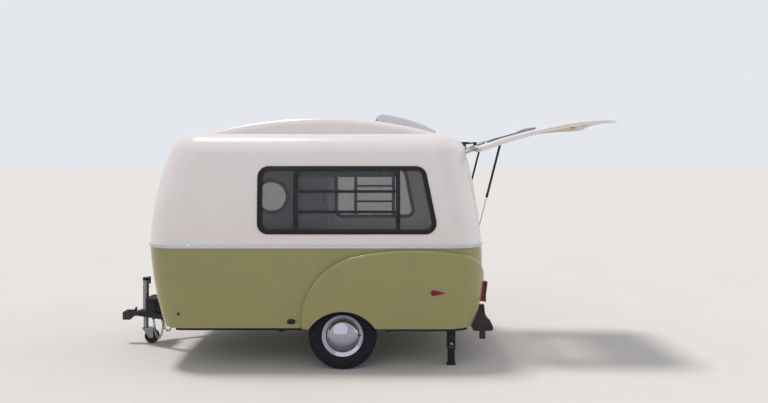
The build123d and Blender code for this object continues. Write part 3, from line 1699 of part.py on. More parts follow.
NODES = {name: solids_of(make()) for name, make in SINGLE.items()}
for base, make in PAIRED.items():
    for end, side in SIDES:
        NODES[f"{base}_{end}"] = solids_of(make(side))
CORNERS = [solid.bounding_box() for solids in NODES.values() for solid in solids]
LOW = [min(getattr(box.min, axis) for box in CORNERS) for axis in "XYZ"]
HIGH = [max(getattr(box.max, axis) for box in CORNERS) for axis in "XYZ"]
ORIGIN = ((LOW[0] + HIGH[0]) / 2, (LOW[1] + HIGH[1]) / 2, LOW[2])

for name, solids in NODES.items():
    placed = [solid.moved(Location((-ORIGIN[0], -ORIGIN[1], -ORIGIN[2]))) for solid in solids]
    shape = placed[0] if len(placed) == 1 else Compound(children=placed)
    export_step(shape, f"parts/{name}.step")
print("origin", ORIGIN, "box", LOW, HIGH)
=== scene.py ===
import json
from math import atan2, copysign, cos, pi, radians, sin

import bmesh
import bpy
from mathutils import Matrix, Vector
from mathutils.bvhtree import BVHTree


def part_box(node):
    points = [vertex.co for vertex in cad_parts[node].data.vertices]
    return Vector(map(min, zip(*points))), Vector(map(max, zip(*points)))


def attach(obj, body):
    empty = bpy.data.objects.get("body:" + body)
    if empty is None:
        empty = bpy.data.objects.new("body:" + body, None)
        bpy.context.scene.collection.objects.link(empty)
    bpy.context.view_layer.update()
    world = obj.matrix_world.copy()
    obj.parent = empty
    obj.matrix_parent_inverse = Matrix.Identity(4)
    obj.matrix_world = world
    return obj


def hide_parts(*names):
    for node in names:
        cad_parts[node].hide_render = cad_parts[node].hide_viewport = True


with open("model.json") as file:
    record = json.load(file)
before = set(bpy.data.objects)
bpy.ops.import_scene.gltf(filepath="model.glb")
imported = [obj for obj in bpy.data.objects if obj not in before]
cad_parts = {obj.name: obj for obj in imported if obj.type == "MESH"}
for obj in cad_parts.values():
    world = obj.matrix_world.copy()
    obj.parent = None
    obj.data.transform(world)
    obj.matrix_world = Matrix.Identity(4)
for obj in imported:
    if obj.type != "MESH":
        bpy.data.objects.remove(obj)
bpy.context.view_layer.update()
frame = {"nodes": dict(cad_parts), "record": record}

SCENE = bpy.context.scene
NODES = frame["nodes"]
SIDES = ((-1, "left"), (1, "right"))

# The photograph's frame, in its own pixels, and where its camera stands, in metres
PHOTO_W = 768
PHOTO_H = 403
FOCAL_PX = 680
HORIZON_V = 169
EYE = Vector((0.2480, -7.165, 1.83))
SENSOR_MM = 36

# Places taken from the frame, in metres
TYRE_LOW, TYRE_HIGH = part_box("tyre_left")
AXLE = (TYRE_LOW + TYRE_HIGH) / 2
TYRE_R = (TYRE_HIGH.z - TYRE_LOW.z) / 2
FLOOR_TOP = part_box("cabin_floor")[1].z


def srgb(red, green, blue):
    """A colour read off a screen, 0 to 255, as the linear colour that a shader takes."""
    linear = []
    for level in (red, green, blue):
        c = level / 255
        linear.append(c / 12.92 if c <= 0.04045 else ((c + 0.055) / 1.055) ** 2.4)
    return (*linear, 1.0)


def scaled(colour, factor):
    return (*(min(1.0, c * factor) for c in colour[:3]), 1.0)


# Node materials

class Nodes:
    """A node tree, emptied, whose nodes are added and joined one at a time."""

    def __init__(self, tree):
        self.tree = tree
        tree.nodes.clear()

    def add(self, kind, settings=None, **values):
        node = self.tree.nodes.new(kind)
        for key, value in (settings or {}).items():
            setattr(node, key, value)
        for key, value in values.items():
            node.inputs[key.replace("_", " ")].default_value = value
        return node

    def join(self, source, output, target, entry):
        self.tree.links.new(source.outputs[output], target.inputs[entry])
        return target

    def combine(self, operation, first, first_out, second, second_out):
        node = self.add("ShaderNodeMath", {"operation": operation})
        self.join(first, first_out, node, 0)
        return self.join(second, second_out, node, 1)


class Shader(Nodes):
    """A principled material."""

    def __init__(self, name):
        self.material = bpy.data.materials.new(name)
        self.material.use_nodes = True
        super().__init__(self.material.node_tree)
        self.bsdf = self.add("ShaderNodeBsdfPrincipled")
        self.join(self.bsdf, 0, self.add("ShaderNodeOutputMaterial"), 0)
        self.coords = self.add("ShaderNodeTexCoord")

    def noise(self, size, detail=3, rough=0.6, stretch=(1, 1, 1)):
        """Noise whose features are about size metres across."""
        place = self.add("ShaderNodeMapping", Scale=stretch)
        self.join(self.coords, "Object", place, "Vector")
        cloud = self.add("ShaderNodeTexNoise", Scale=1 / size, Detail=detail, Roughness=rough)
        return self.join(place, "Vector", cloud, "Vector")

    def ramp(self, source, output, low, high, to_low=0.0, to_high=1.0):
        """Map low..high onto to_low..to_high, held at the ends."""
        node = self.add(
            "ShaderNodeMapRange", From_Min=low, From_Max=high, To_Min=to_low, To_Max=to_high
        )
        return self.join(source, output, node, "Value")

    def mix(self, factor, first, second):
        """Mix two colours, each a value or a (node, output) pair, by a factor node."""
        node = self.add("ShaderNodeMix", {"data_type": "RGBA"})
        self.join(factor, 0, node, 0)
        for entry, colour in ((6, first), (7, second)):
            if isinstance(colour[0], bpy.types.Node):
                self.join(*colour, node, entry)
            else:
                node.inputs[entry].default_value = colour
        return node

    def mottled(self, colour, cloud, lighter, darker):
        blend = self.ramp(cloud, "Fac", 0.3, 0.7)
        return self.mix(blend, scaled(colour, darker), scaled(colour, lighter))

    def split(self, output):
        parts = self.add("ShaderNodeSeparateXYZ")
        return self.join(self.coords, output, parts, "Vector")

    def share_of(self, first, second, share):
        """The product of two nodes, times a number."""
        node = self.add("ShaderNodeMath", {"operation": "MULTIPLY"})
        node.inputs[1].default_value = share
        return self.join(self.combine("MULTIPLY", first, 0, second, 0), 0, node, 0)

    def bump(self, source, output, strength, depth):
        node = self.add("ShaderNodeBump", Strength=strength, Distance=depth)
        self.join(source, output, node, "Height")
        self.join(node, 0, self.bsdf, "Normal")
        return node

    def finish(self, colour, gloss=None, **values):
        """Join the colour, and the gloss where it varies, and set the even values."""
        self.join(colour, 2, self.bsdf, "Base Color")
        if gloss:
            self.join(gloss, 0, self.bsdf, "Roughness")
        for key, value in values.items():
            self.bsdf.inputs[key.replace("_", " ")].default_value = value
        return self.material


DUST = srgb(176, 150, 122)
EDGE_R = 0.002


def surface(
    name, colour, rough, metal=0.0, coat=0.0, spec=0.5, mottle=0.05, mottle_size=0.35,
    grain=0.004, grain_depth=0.0, dust=0.0, dust_top=0.9, wear=0.0, wear_colour=None,
    below=None,
):
    """A finish with mottled colour, uneven gloss, fine grain, softened edges, dust that
    thins out towards dust_top, wear along its edges, and below, a colour painted on what
    is turned down, as painted bounce light from the ground."""
    s = Shader(name)
    cloud = s.noise(mottle_size)
    tone = s.mottled(colour, cloud, 1 + mottle, 1 - mottle)
    gloss = s.ramp(cloud, "Fac", 0.3, 0.7, rough * 0.85, min(1.0, rough * 1.15))
    if dust:
        low = s.ramp(s.split("Object"), "Z", 0.0, dust_top, 1.0, 0.0)
        patch = s.ramp(s.noise(0.09, detail=5), "Fac", 0.35, 0.7, 0.15, 1.0)
        amount = s.share_of(low, patch, dust)
        tone = s.mix(amount, (tone, 2), DUST)
        dull = s.add("ShaderNodeMath", {"operation": "MULTIPLY_ADD", "use_clamp": True})
        dull.inputs[1].default_value = 0.5
        s.join(amount, 0, dull, 0)
        gloss = s.join(gloss, 0, dull, 2)
    bevel = s.add("ShaderNodeBevel", {"samples": 4}, Radius=EDGE_R)
    if wear:
        facing = s.add("ShaderNodeVectorMath", {"operation": "DOT_PRODUCT"})
        s.join(bevel, 0, facing, 0)
        s.join(s.add("ShaderNodeNewGeometry"), "Normal", facing, 1)
        edge = s.ramp(facing, "Value", 0.86, 0.97, 1.0, 0.0)
        chips = s.ramp(s.noise(0.012, detail=4), "Fac", 0.45, 0.6)
        tone = s.mix(s.share_of(edge, chips, wear), (tone, 2), wear_colour or scaled(colour, 2.2))
    # Painted bounce light: faces turned down are tinted with the below colour, for warm light
    # bounced up from the ground
    if below:
        tone = s.mix(s.ramp(s.split("Normal"), "Z", -0.35, -0.65), (tone, 2), below)
    if grain_depth:
        bump = s.bump(s.noise(grain, detail=2), "Fac", 0.6, grain_depth)
        s.join(bevel, 0, bump, "Normal")
    else:
        s.join(bevel, 0, s.bsdf, "Normal")
    return s.finish(
        tone, gloss, Metallic=metal, Coat_Weight=coat, Coat_Roughness=0.06, Specular_IOR_Level=spec
    )


def clear(name, colour, alpha, rough=0.03, spec=0.5):
    """Clear glazing or a clear lens: smears show only in the gloss."""
    s = Shader(name)
    smear = s.noise(0.12, detail=4, stretch=(1, 1, 0.4))
    gloss = s.ramp(smear, "Fac", 0.35, 0.7, rough, rough * 3)
    tone = s.mottled(colour, smear, 1.06, 0.94)
    return s.finish(tone, gloss, Alpha=alpha, Specular_IOR_Level=spec)


def woven(name, colour, thread, depth):
    """Plain weave: two crossed wave bands, with the yarn's tone varying at random, and a painted
    highlight that lightens the raised crossings.
    """
    s = Shader(name)
    bands = []
    for axis in ("X", "Y"):
        style = {"bands_direction": axis, "wave_type": "BANDS"}
        wave = s.add(
            "ShaderNodeTexWave", style, Scale=1 / thread / 3.2, Distortion=1.2, Detail=2.0
        )
        s.join(s.coords, "Object", wave, "Vector")
        bands.append(wave)
    cloth = s.combine("MULTIPLY", bands[0], "Fac", bands[1], "Fac")
    tone = s.mottled(colour, s.noise(0.06, detail=5), 1.12, 0.86)
    # Painted highlight: where the weave stands highest, the colour is lightened towards 1.35 times
    weave_highlight = s.ramp(cloth, 0, 0.0, 0.6, 0.0, 0.5)
    s.bump(cloth, 0, 0.7, depth)
    tone = s.mix(weave_highlight, (tone, 2), scaled(colour, 1.35))
    return s.finish(tone, Roughness=0.9, Sheen_Weight=0.35)


def planks(name, colour, width, length):
    """Vinyl planks: boards by a brick pattern, with grain stretched along them."""
    s = Shader(name)
    bricks = s.add(
        "ShaderNodeTexBrick", {"offset": 0.5}, Scale=1.0, Brick_Width=length,
        Row_Height=width, Mortar_Size=0.0015, Color1=scaled(colour, 0.82),
        Color2=scaled(colour, 1.18), Mortar=scaled(colour, 0.3),
    )
    s.join(s.coords, "Object", bricks, "Vector")
    grain = s.noise(0.03, detail=6, stretch=(0.12, 1, 1))
    lines = s.ramp(grain, "Fac", 0.35, 0.68, 0.0, 0.45)
    s.bump(grain, "Fac", 0.4, 0.0006)
    gloss = s.ramp(grain, "Fac", 0.3, 0.7, 0.42, 0.58)
    return s.finish(s.mix(lines, (bricks, 0), scaled(colour, 0.5)), gloss)


def pale(name, colour):
    """A plain studio ground with the faintest unevenness."""
    s = Shader(name)
    tone = s.mottled(colour, s.noise(1.6), 1.015, 0.985)
    return s.finish(tone, Roughness=0.95, Specular_IOR_Level=0.1)


WHITE = srgb(220, 212, 209)
GREEN = srgb(139, 132, 80)
BLACK = srgb(16, 15, 23)
GELCOAT = {"grain": 0.02, "grain_depth": 0.0002}
WHITE_GELCOAT = {"rough": 0.24, "coat": 0.35, "mottle": 0.015, **GELCOAT}
FINISHES = {
    "shell_white": surface("gelcoat_white", WHITE, **WHITE_GELCOAT),
    "shell_green": surface("gelcoat_green", GREEN, 0.24, coat=0.4, mottle=0.03, **GELCOAT),
    "shell_inner": surface("gelcoat_inner", srgb(214, 208, 200), 0.45, mottle=0.02),
    "seam_trim": surface("bright_trim", srgb(194, 195, 205), 0.22, metal=1.0, mottle=0.04),
    "floor_vinyl": planks("floor_planks", srgb(150, 122, 94), 0.12, 0.9),
    "window_rubber": surface(
        "window_rubber", srgb(20, 18, 26), 0.45, spec=0.3, mottle=0.1, grain=0.002,
        grain_depth=0.0002,
    ),
    "glass": clear("window_glass", srgb(70, 74, 82), 0.34),
    "hinge_black": surface("satin_black", BLACK, 0.4, spec=0.3, wear=0.2),
    "frame_black": surface(
        "frame_paint", BLACK, 0.42, spec=0.22, grain=0.006, grain_depth=0.0003, dust=0.04,
        dust_top=0.6, wear=0.25, wear_colour=srgb(84, 80, 84),
    ),
    "coupler_zinc": surface(
        "coupler_paint", srgb(28, 27, 38), 0.38, spec=0.3, dust=0.08, wear=0.5,
        wear_colour=srgb(120, 118, 120),
    ),
    "jack_zinc": surface(
        "zinc_plate", srgb(132, 134, 142), 0.36, metal=0.9, mottle=0.12, mottle_size=0.04,
        dust=0.1,
    ),
    "box_black": surface(
        "battery_plastic", srgb(20, 19, 27), 0.62, spec=0.3, grain=0.0015, grain_depth=0.0004,
        dust=0.06,
    ),
    "bumper_black": surface(
        "bumper_paint", srgb(24, 22, 32), 0.5, spec=0.3, grain=0.003, grain_depth=0.0005,
        dust=0.1, wear=0.3, wear_colour=srgb(96, 92, 96),
    ),
    "lamp_red": clear("red_lens", srgb(112, 8, 40), 0.98, rough=0.12, spec=0.3),
    "port_black": surface(
        "port_plastic", srgb(22, 21, 29), 0.5, spec=0.3, grain=0.0015, grain_depth=0.0003
    ),
    "vent_gasket": surface("vent_gasket", srgb(52, 50, 54), 0.75),
    "vent_white": surface(
        "vent_plastic", srgb(208, 204, 214), 0.4, mottle=0.03, grain=0.003, grain_depth=0.0002
    ),
    "furniture": surface("laminate", srgb(178, 176, 176), 0.5, mottle=0.03),
    "cushion_fabric": woven("cushion_weave", srgb(104, 118, 138), 0.003, 0.0008),
    "chain_zinc": surface(
        "chain_zinc", srgb(150, 150, 152), 0.4, metal=0.85, mottle=0.2, mottle_size=0.02
    ),
    "hatch_tan": surface(
        "hatch_tan", srgb(220, 184, 142), 0.38, mottle=0.04, grain=0.01, grain_depth=0.0003
    ),
    "strut_black": surface("strut_paint", srgb(12, 11, 20), 0.35, spec=0.3),
    "strut_rod_steel": surface("strut_rod", srgb(190, 190, 194), 0.12, metal=1.0, mottle=0.03),
    "tyre": surface(
        "tyre_rubber", srgb(17, 16, 29), 0.78, spec=0.25, mottle=0.12, mottle_size=0.05,
        grain=0.0016, grain_depth=0.0004, dust=0.04, dust_top=0.5,
    ),
    "rim_silver": surface("rim_paint", srgb(150, 150, 156), 0.35, metal=0.6, dust=0.1),
    "hubcap_chrome": surface("chrome", srgb(160, 161, 173), 0.07, metal=1.0, mottle=0.01),
    "jockey_tyre": surface(
        "jockey_rubber", srgb(22, 20, 28), 0.7, spec=0.25, dust=0.12, dust_top=0.3
    ),
}


def placed(name, data):
    """A new object in the scene."""
    piece = bpy.data.objects.new(name, data)
    SCENE.collection.objects.link(piece)
    return piece


def dress(piece, material):
    """Give a piece one material, in place of any that it came with."""
    piece.data.materials.clear()
    piece.data.materials.append(material)


for row in frame["record"]["subparts"]:
    dress(NODES[row["node"]], FINISHES[row["material_slot"]])

# The hatch's moulding is white, with painted warm bounce light from the ground, tan, on the faces
# turned down
HATCH_GELCOAT_BOUNCE_LIT = surface("gelcoat_hatch_bounce_lit", WHITE, below=srgb(212, 170, 124), **WHITE_GELCOAT)
dress(NODES["hatch_skin"], HATCH_GELCOAT_BOUNCE_LIT)
HATCH_RUBBER = surface(
    "hatch_window_rubber", srgb(30, 28, 36), 0.22, coat=0.6, mottle=0.1, grain=0.002,
    grain_depth=0.0001,
)
dress(NODES["hatch_window_frame"], HATCH_RUBBER)

# The cabin's inner faces are pale, whatever colour the moulding has outside.  The wheel
# wells keep the outer colour on the faces turned to the wheel.
NOSE_AXIS_X = -1.5
TAIL_AXIS_X = 0.8
WELL_RADIUS = 0.37
WELL_WALL = 0.8
WELL_REACH = 0.98
for node_name in ("lower_shell", "upper_shell", "entry_door"):
    shell = NODES[node_name].data
    shell.materials.append(FINISHES["shell_inner"])
    for polygon in shell.polygons:
        spot = polygon.center
        facing = polygon.normal
        axis_x = min(max(spot.x, NOSE_AXIS_X), TAIL_AXIS_X)
        outward = Vector((spot.x - axis_x, spot.y, 0))
        from_axle = Vector((spot.x - AXLE.x, 0, spot.z - AXLE.z))
        if from_axle.length < WELL_RADIUS:
            turned_in = facing.y * spot.y < -0.5 * abs(spot.y) and abs(spot.y) < WELL_WALL
            over_floor = spot.z > FLOOR_TOP - 0.05 and abs(spot.y) < WELL_REACH
            over_arch = over_floor and facing.dot(from_axle) > 0 and abs(facing.y) < 0.7
            inner = over_arch or turned_in
        else:
            inner = outward.length and facing.dot(outward.normalized()) < -0.3
        if inner:
            polygon.material_index = 1


# Mesh toolkit: closed forms gathered into one piece

UP = Vector((0, 0, 1))
OUTSIDE = 1.4


def spread(first, last, count):
    """Evenly spaced numbers, both ends included."""
    return [first + (last - first) * i / (count - 1) for i in range(count)]


def turns(count, start=0.0):
    """Angles evenly round a full turn."""
    return [2 * pi * (i + start) / count for i in range(count)]


def disc(radius, sides=10):
    """A round section for a sweep."""
    return [(radius * cos(a), radius * sin(a)) for a in turns(sides)]


def bar(width, height, edge=0.001):
    """A flat section for a sweep, its corners eased."""
    w = width / 2
    h = height / 2
    return [
        (w, edge - h), (w, h - edge), (w - edge, h), (edge - w, h),
        (-w, h - edge), (-w, edge - h), (edge - w, -h), (w - edge, -h),
    ]


class Kit:
    """Builds one piece from rings of points skinned into closed forms."""

    def __init__(self):
        self.bm = bmesh.new()

    def skin(self, rings, closed=False):
        rows = [[self.bm.verts.new(point) for point in ring] for ring in rings]
        pairs = list(zip(rows, rows[1:]))
        if closed:
            pairs.append((rows[-1], rows[0]))
        count = len(rows[0])
        for low, high in pairs:
            for i in range(count):
                j = (i + 1) % count
                self.bm.faces.new((low[i], low[j], high[j], high[i]))
        if not closed:
            self.bm.faces.new(rows[0][::-1])
            self.bm.faces.new(rows[-1])

    def lathe(self, place, axis, profile, sides=16, closed=False):
        """Turn (along, radius) points about an axis through place."""
        place = Vector(place)
        axis = Vector(axis).normalized()
        side = axis.cross(UP if abs(axis.z) < 0.9 else Vector((0, 1, 0))).normalized()
        other = axis.cross(side).normalized()
        round_way = [side * cos(a) + other * sin(a) for a in turns(sides)]
        rings = []
        for along, radius in profile:
            rings.append([place + axis * along + way * radius for way in round_way])
        self.skin(rings, closed)

    def sweep(self, path, section, closed=False, up=UP):
        """Carry a section of (out, along up) points down a path.  up may be one
        direction, or a list with one for each point."""
        path = [Vector(point) for point in path]
        rings = []
        count = len(path)
        for i, point in enumerate(path):
            after = path[(i + 1) % count] if closed or i + 1 < count else point
            before = path[i - 1] if closed or i else point
            way = (after - before).normalized()
            lift = Vector(up[i] if isinstance(up, list) else up)
            if abs(way.dot(lift.normalized())) > 0.96:
                lift = Vector((0, 1, 0)) if abs(way.y) < 0.9 else Vector((1, 0, 0))
            out = way.cross(lift).normalized()
            lift = out.cross(way).normalized()
            rings.append([point + out * a + lift * b for a, b in section])
        self.skin(rings, closed)

    def lay(self, section, skin, starts, way, lift=0.0, closed=False):
        """Sweep a section along the points where rays meet a skin."""
        line, normals = skin.trace(starts, way, lift)
        self.sweep(line, section, closed, normals)

    def brick(self, middle, size, edge=0.002):
        """A block with all its edges eased."""
        half = Vector(size) / 2
        edge = min(edge, min(half) * 0.9)
        rings = []
        levels = ((edge, -half.z), (0, edge - half.z), (0, half.z - edge), (edge, half.z))
        for inset, level in levels:
            near = (half.x - inset, half.y - inset - edge)
            far = (half.x - inset - edge, half.y - inset)
            ring = []
            for sx, sy in ((1, 1), (-1, 1), (-1, -1), (1, -1)):
                for x, y in (near, far) if sx == sy else (far, near):
                    ring.append(Vector(middle) + Vector((sx * x, sy * y, level)))
            rings.append(ring)
        self.skin(rings)

    def screw(self, place, normal, radius, height=None):
        """A domed screw head with a socket."""
        height = height or radius * 0.55
        profile = [
            (-0.0008, radius), (height * 0.3, radius), (height * 0.8, radius * 0.84),
            (height, radius * 0.55), (height, radius * 0.42), (height * 0.45, radius * 0.38),
        ]
        self.lathe(place, normal, profile, 12)

    def bolt(self, place, normal, radius):
        """A washer and a six-sided head."""
        height = radius * 0.75
        self.lathe(place, normal, [(-0.001, radius * 1.5), (radius * 0.2, radius * 1.5)], 18)
        head = [(0, radius), (height * 0.85, radius), (height, radius * 0.88)]
        self.lathe(Vector(place) + Vector(normal).normalized() * radius * 0.2, normal, head, 6)

    def piece(self, name):
        bmesh.ops.recalc_face_normals(self.bm, faces=self.bm.faces)
        mesh = bpy.data.meshes.new(name)
        self.bm.to_mesh(mesh)
        self.bm.free()
        return placed(name, mesh)

    def done(self, name, slot, body="root", sharp=38):
        """Make the piece, smooth it, dress it and let it ride on its body."""
        piece = self.piece(name)
        for polygon in piece.data.polygons:
            polygon.use_smooth = True
        piece.data.set_sharp_from_angle(angle=radians(sharp))
        dress(piece, FINISHES[slot])
        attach(piece, body)
        return piece


def tree_of(mesh):
    points = [vertex.co for vertex in mesh.vertices]
    return BVHTree.FromPolygons(points, [tuple(face.vertices) for face in mesh.polygons])


class Skin:
    """The outer faces of some CAD nodes, to set pieces on."""

    def __init__(self, *names):
        self.trees = [tree_of(NODES[name].data) for name in names]

    def hit(self, start, way):
        """The first point met from start along way, and the normal there."""
        way = Vector(way).normalized()
        best = None
        for tree in self.trees:
            point, normal, _, far = tree.ray_cast(Vector(start), way)
            if point is not None and (best is None or far < best[2]):
                best = (point, normal, far)
        if best is None:
            return None
        point, normal, _ = best
        return point, -normal if normal.dot(way) > 0 else normal

    def trace(self, starts, way, lift=0.0):
        """The points met from some starts, raised by lift, and the normals there."""
        found = [hit for hit in (self.hit(start, way) for start in starts) if hit]
        return [spot + normal * lift for spot, normal in found], [normal for _, normal in found]

    def fix(self, put, start, way, *sizes, facing=0.0):
        """Set a screw or bolt where a ray meets a face that is turned to it."""
        found = self.hit(start, way)
        if found and -found[1].dot(Vector(way)) >= facing:
            put(*found, *sizes)


def from_side(side, path):
    """Start points beside the trailer, for a path drawn in x and z."""
    return [(x, side * OUTSIDE, z) for x, z in path]


def corners_of(left, low, right, high):
    """The corners of a rectangle, anticlockwise."""
    return [(left, low), (right, low), (right, high), (left, high)]


def rounded_path(corners, radius, inset=0.0, steps=6, gap=0.03):
    """The outline of a polygon, given anticlockwise, moved in and with its corners rounded
    by one radius, or by a list of them."""
    count = len(corners)
    radii = radius if isinstance(radius, list) else [radius] * count

    def bend(points, i):
        """The ways in from both edges at one corner, and the corner's own."""
        first = (points[i] - points[i - 1]).normalized()
        second = (points[(i + 1) % count] - points[i]).normalized()
        in_first = Vector((-first.y, first.x))
        in_second = Vector((-second.y, second.x))
        return in_first, in_second, (in_first + in_second).normalized()

    corners = [Vector(corner) for corner in corners]
    moved = []
    for i in range(count):
        in_first, _, half = bend(corners, i)
        moved.append(corners[i] + half * (inset / half.dot(in_first)))
    path = []
    for i in range(count):
        r = max(radii[i] - inset, 0.002)
        in_first, in_second, half = bend(moved, i)
        middle = moved[i] + half * (r / half.dot(in_first))
        start = atan2(-in_first.y, -in_first.x)
        turn = (atan2(-in_second.y, -in_second.x) - start) % (2 * pi)
        for k in range(steps + 1):
            angle = start + turn * k / steps
            path.append(middle + Vector((cos(angle), sin(angle))) * r)
    filled = []
    for i, point in enumerate(path):
        after = path[(i + 1) % len(path)]
        parts = max(1, round((after - point).length / gap))
        for k in range(parts):
            filled.append(point.lerp(after, k / parts))
    return filled


# Road tyres: grooved tread, rings on the sidewalls

TREAD_STEPS = 320
TREAD_HALF = 0.066
GROOVES = (-0.043, -0.0155, 0.0155, 0.043)
GROOVE_HALF = 0.0033
GROOVE_WAVE = 0.0022
GROOVE_DEPTH = 0.007
SIDEWALL = [
    (0.0665, 0.1655), (0.0735, 0.169), (0.0795, 0.179), (0.0845, 0.191), (0.088, 0.2035),
    (0.0888, 0.2065), (0.0892, 0.209), (0.0905, 0.2115), (0.0918, 0.226), (0.0924, 0.24),
    (0.092, 0.2515), (0.0924, 0.2535), (0.092, 0.2555), (0.0905, 0.2575), (0.088, 0.27),
    (0.083, 0.285), (0.0775, 0.2955), (0.0715, 0.3035),
]


def tread_depth(y, step):
    """How far the tread is cut back at one place, as a share of the groove's depth."""
    wave = GROOVE_WAVE if (step // 4) % 2 else -GROOVE_WAVE
    if any(abs(y - groove - wave) < GROOVE_HALF for groove in GROOVES):
        return 1.0
    row = sum(y > groove for groove in GROOVES)
    if (step + row * 3 + round(abs(y) * 90)) % 8:
        return 0.0
    return 0.9 if row in (0, 4) else 0.75


def tyre(name, side):
    cross = [(-y, r, False) for y, r in SIDEWALL]
    for y in spread(-TREAD_HALF, TREAD_HALF, 41):
        cross.append((y, TYRE_R - 0.0045 * (abs(y) / TREAD_HALF) ** 3, True))
    cross += [(y, r, False) for y, r in reversed(SIDEWALL)]
    rows = []
    for step, angle in enumerate(turns(TREAD_STEPS)):
        ring = []
        for y, r, tread in cross:
            if tread:
                r -= GROOVE_DEPTH * tread_depth(y, step)
            elif r > 0.28 and step % 8 < 2:
                r -= 0.0035
            x = AXLE.x + r * sin(angle)
            ring.append(Vector((x, y - side * AXLE.y, AXLE.z - r * cos(angle))))
        rows.append(ring)
    kit = Kit()
    kit.skin(rows, closed=True)
    piece = kit.done(f"tyre_{name}_tread", "tyre", body=f"wheel_{name}", sharp=32)
    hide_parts(f"tyre_{name}")


for side, name in SIDES:
    tyre(name, side)

# Valve stems
STEM = [(-0.002, 0.0052), (0.003, 0.005), (0.004, 0.0036), (0.01, 0.0034)]
STEM += [(0.0105, 0.004), (0.016, 0.004), (0.0168, 0.003)]
for side, name in SIDES:
    kit = Kit()
    cap = Skin(f"hubcap_{name}")
    for spot in cap.trace([(AXLE.x + 0.157, side * 1.3, AXLE.z)], (0, -side, 0))[0]:
        kit.lathe(spot, (0, side, 0), STEM, 14)
    kit.done(f"valve_stem_wheel_{name}", "window_rubber", body=f"wheel_{name}")


# Cushions: foam pads under pressure, with a piped seam along both edges

CUSHION_START_IN = 0.012
CUSHION_CAP = 0.016
CUSHION_VOXEL = 0.011
CUSHION_CLOTH = {
    "quality": 4,
    "mass": 0.3,
    "tension_stiffness": 12,
    "compression_stiffness": 12,
    "shear_stiffness": 6,
    "bending_stiffness": 0.6,
    "use_pressure": True,
    "uniform_pressure_force": 4.0,
}
PIPING_R = 0.0038


def islands(node):
    """The lowest and highest corner of each separate solid of a node."""
    mesh = bmesh.new()
    mesh.from_mesh(NODES[node].data)
    bmesh.ops.remove_doubles(mesh, verts=mesh.verts, dist=1e-5)
    left = set(mesh.verts)
    found = []
    while left:
        queue = [left.pop()]
        points = []
        while queue:
            vert = queue.pop()
            points.append(vert.co.copy())
            near = {edge.other_vert(vert) for edge in vert.link_edges} & left
            left -= near
            queue += near
        low = Vector(min(point[i] for point in points) for i in range(3))
        high = Vector(max(point[i] for point in points) for i in range(3))
        found.append((low, high))
    mesh.free()
    return sorted(found, key=lambda corners: tuple(corners[0]))


def swell(piece):
    """Blow a pad up by pressure.  The result is applied to its mesh."""
    cloth = piece.modifiers.new("pressure", "CLOTH")
    for key, value in CUSHION_CLOTH.items():
        setattr(cloth.settings, key, value)
    cloth.settings.effector_weights.gravity = 0.0
    for frame_number in range(1, 21):
        SCENE.frame_set(frame_number)
    bpy.ops.object.modifier_apply(modifier=cloth.name)
    SCENE.frame_set(1)


def cushion(name, low, high):
    """One pad: swelled, crowned, and drawn in along its sides between its corners."""
    start_low = low + Vector((CUSHION_START_IN, CUSHION_START_IN, 0.004))
    start_high = high - Vector((CUSHION_START_IN, CUSHION_START_IN, CUSHION_START_IN))
    kit = Kit()
    kit.brick((start_low + start_high) / 2, start_high - start_low, edge=0.02)
    piece = kit.piece(name)
    bpy.context.view_layer.objects.active = piece
    piece.select_set(True)
    remesh = piece.modifiers.new("even", "REMESH")
    remesh.mode = "VOXEL"
    remesh.voxel_size = CUSHION_VOXEL
    bpy.ops.object.modifier_apply(modifier=remesh.name)
    rest = [vertex.co.copy() for vertex in piece.data.vertices]
    swell(piece)
    middle = (low + high) / 2
    half = (high - low) / 2
    for vertex, home in zip(piece.data.vertices, rest):
        moved = vertex.co - home
        if moved.length > CUSHION_CAP:
            moved *= CUSHION_CAP / moved.length
        spot = home + moved
        u = (spot.x - middle.x) / half.x
        v = (spot.y - middle.y) / half.y
        if spot.z > middle.z:
            spot.z += 0.011 * (1 - min(1, abs(u)) ** 3.2) * (1 - min(1, abs(v)) ** 3.2)
        pull = 0.008 * (1 - abs(2 * (spot.z - low.z) / (high.z - low.z) - 1) ** 2)
        if abs(u) > 0.9:
            spot.x -= copysign(pull * cos(v * pi / 2), u)
        if abs(v) > 0.9:
            spot.y -= copysign(pull * cos(u * pi / 2), v)
        spot.x = min(max(spot.x, low.x + 0.001), high.x - 0.001)
        spot.y = min(max(spot.y, low.y + 0.001), high.y - 0.001)
        spot.z = min(max(spot.z, low.z + 0.0005), high.z + 0.004)
        vertex.co = spot
    smooth = piece.modifiers.new("smooth", "SUBSURF")
    smooth.levels = smooth.render_levels = 1
    bpy.ops.object.modifier_apply(modifier=smooth.name)
    for polygon in piece.data.polygons:
        polygon.use_smooth = True
    piece.select_set(False)
    dress(piece, FINISHES["cushion_fabric"])
    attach(piece, "root")
    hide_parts("cushions")
    tree = tree_of(piece.data)
    piping = Kit()
    outline = corners_of(low.x, low.y, high.x, high.y)
    for level in (high.z - 0.02, low.z + 0.012):
        path = []
        for a, b in rounded_path(outline, 0.03, 0.006, gap=0.02):
            near = tree.find_nearest(Vector((a, b, level)))[0]
            near.x = min(max(near.x, low.x + 0.0045), high.x - 0.0045)
            near.y = min(max(near.y, low.y + 0.0045), high.y - 0.0045)
            path.append(near)
        piping.sweep(path, disc(PIPING_R, 8), closed=True)
    piping.done(f"{name}_piping", "cushion_fabric", sharp=60)


for number, (low, high) in enumerate(islands("cushions")):
    cushion(f"bench_cushion_{number + 1}", low, high)

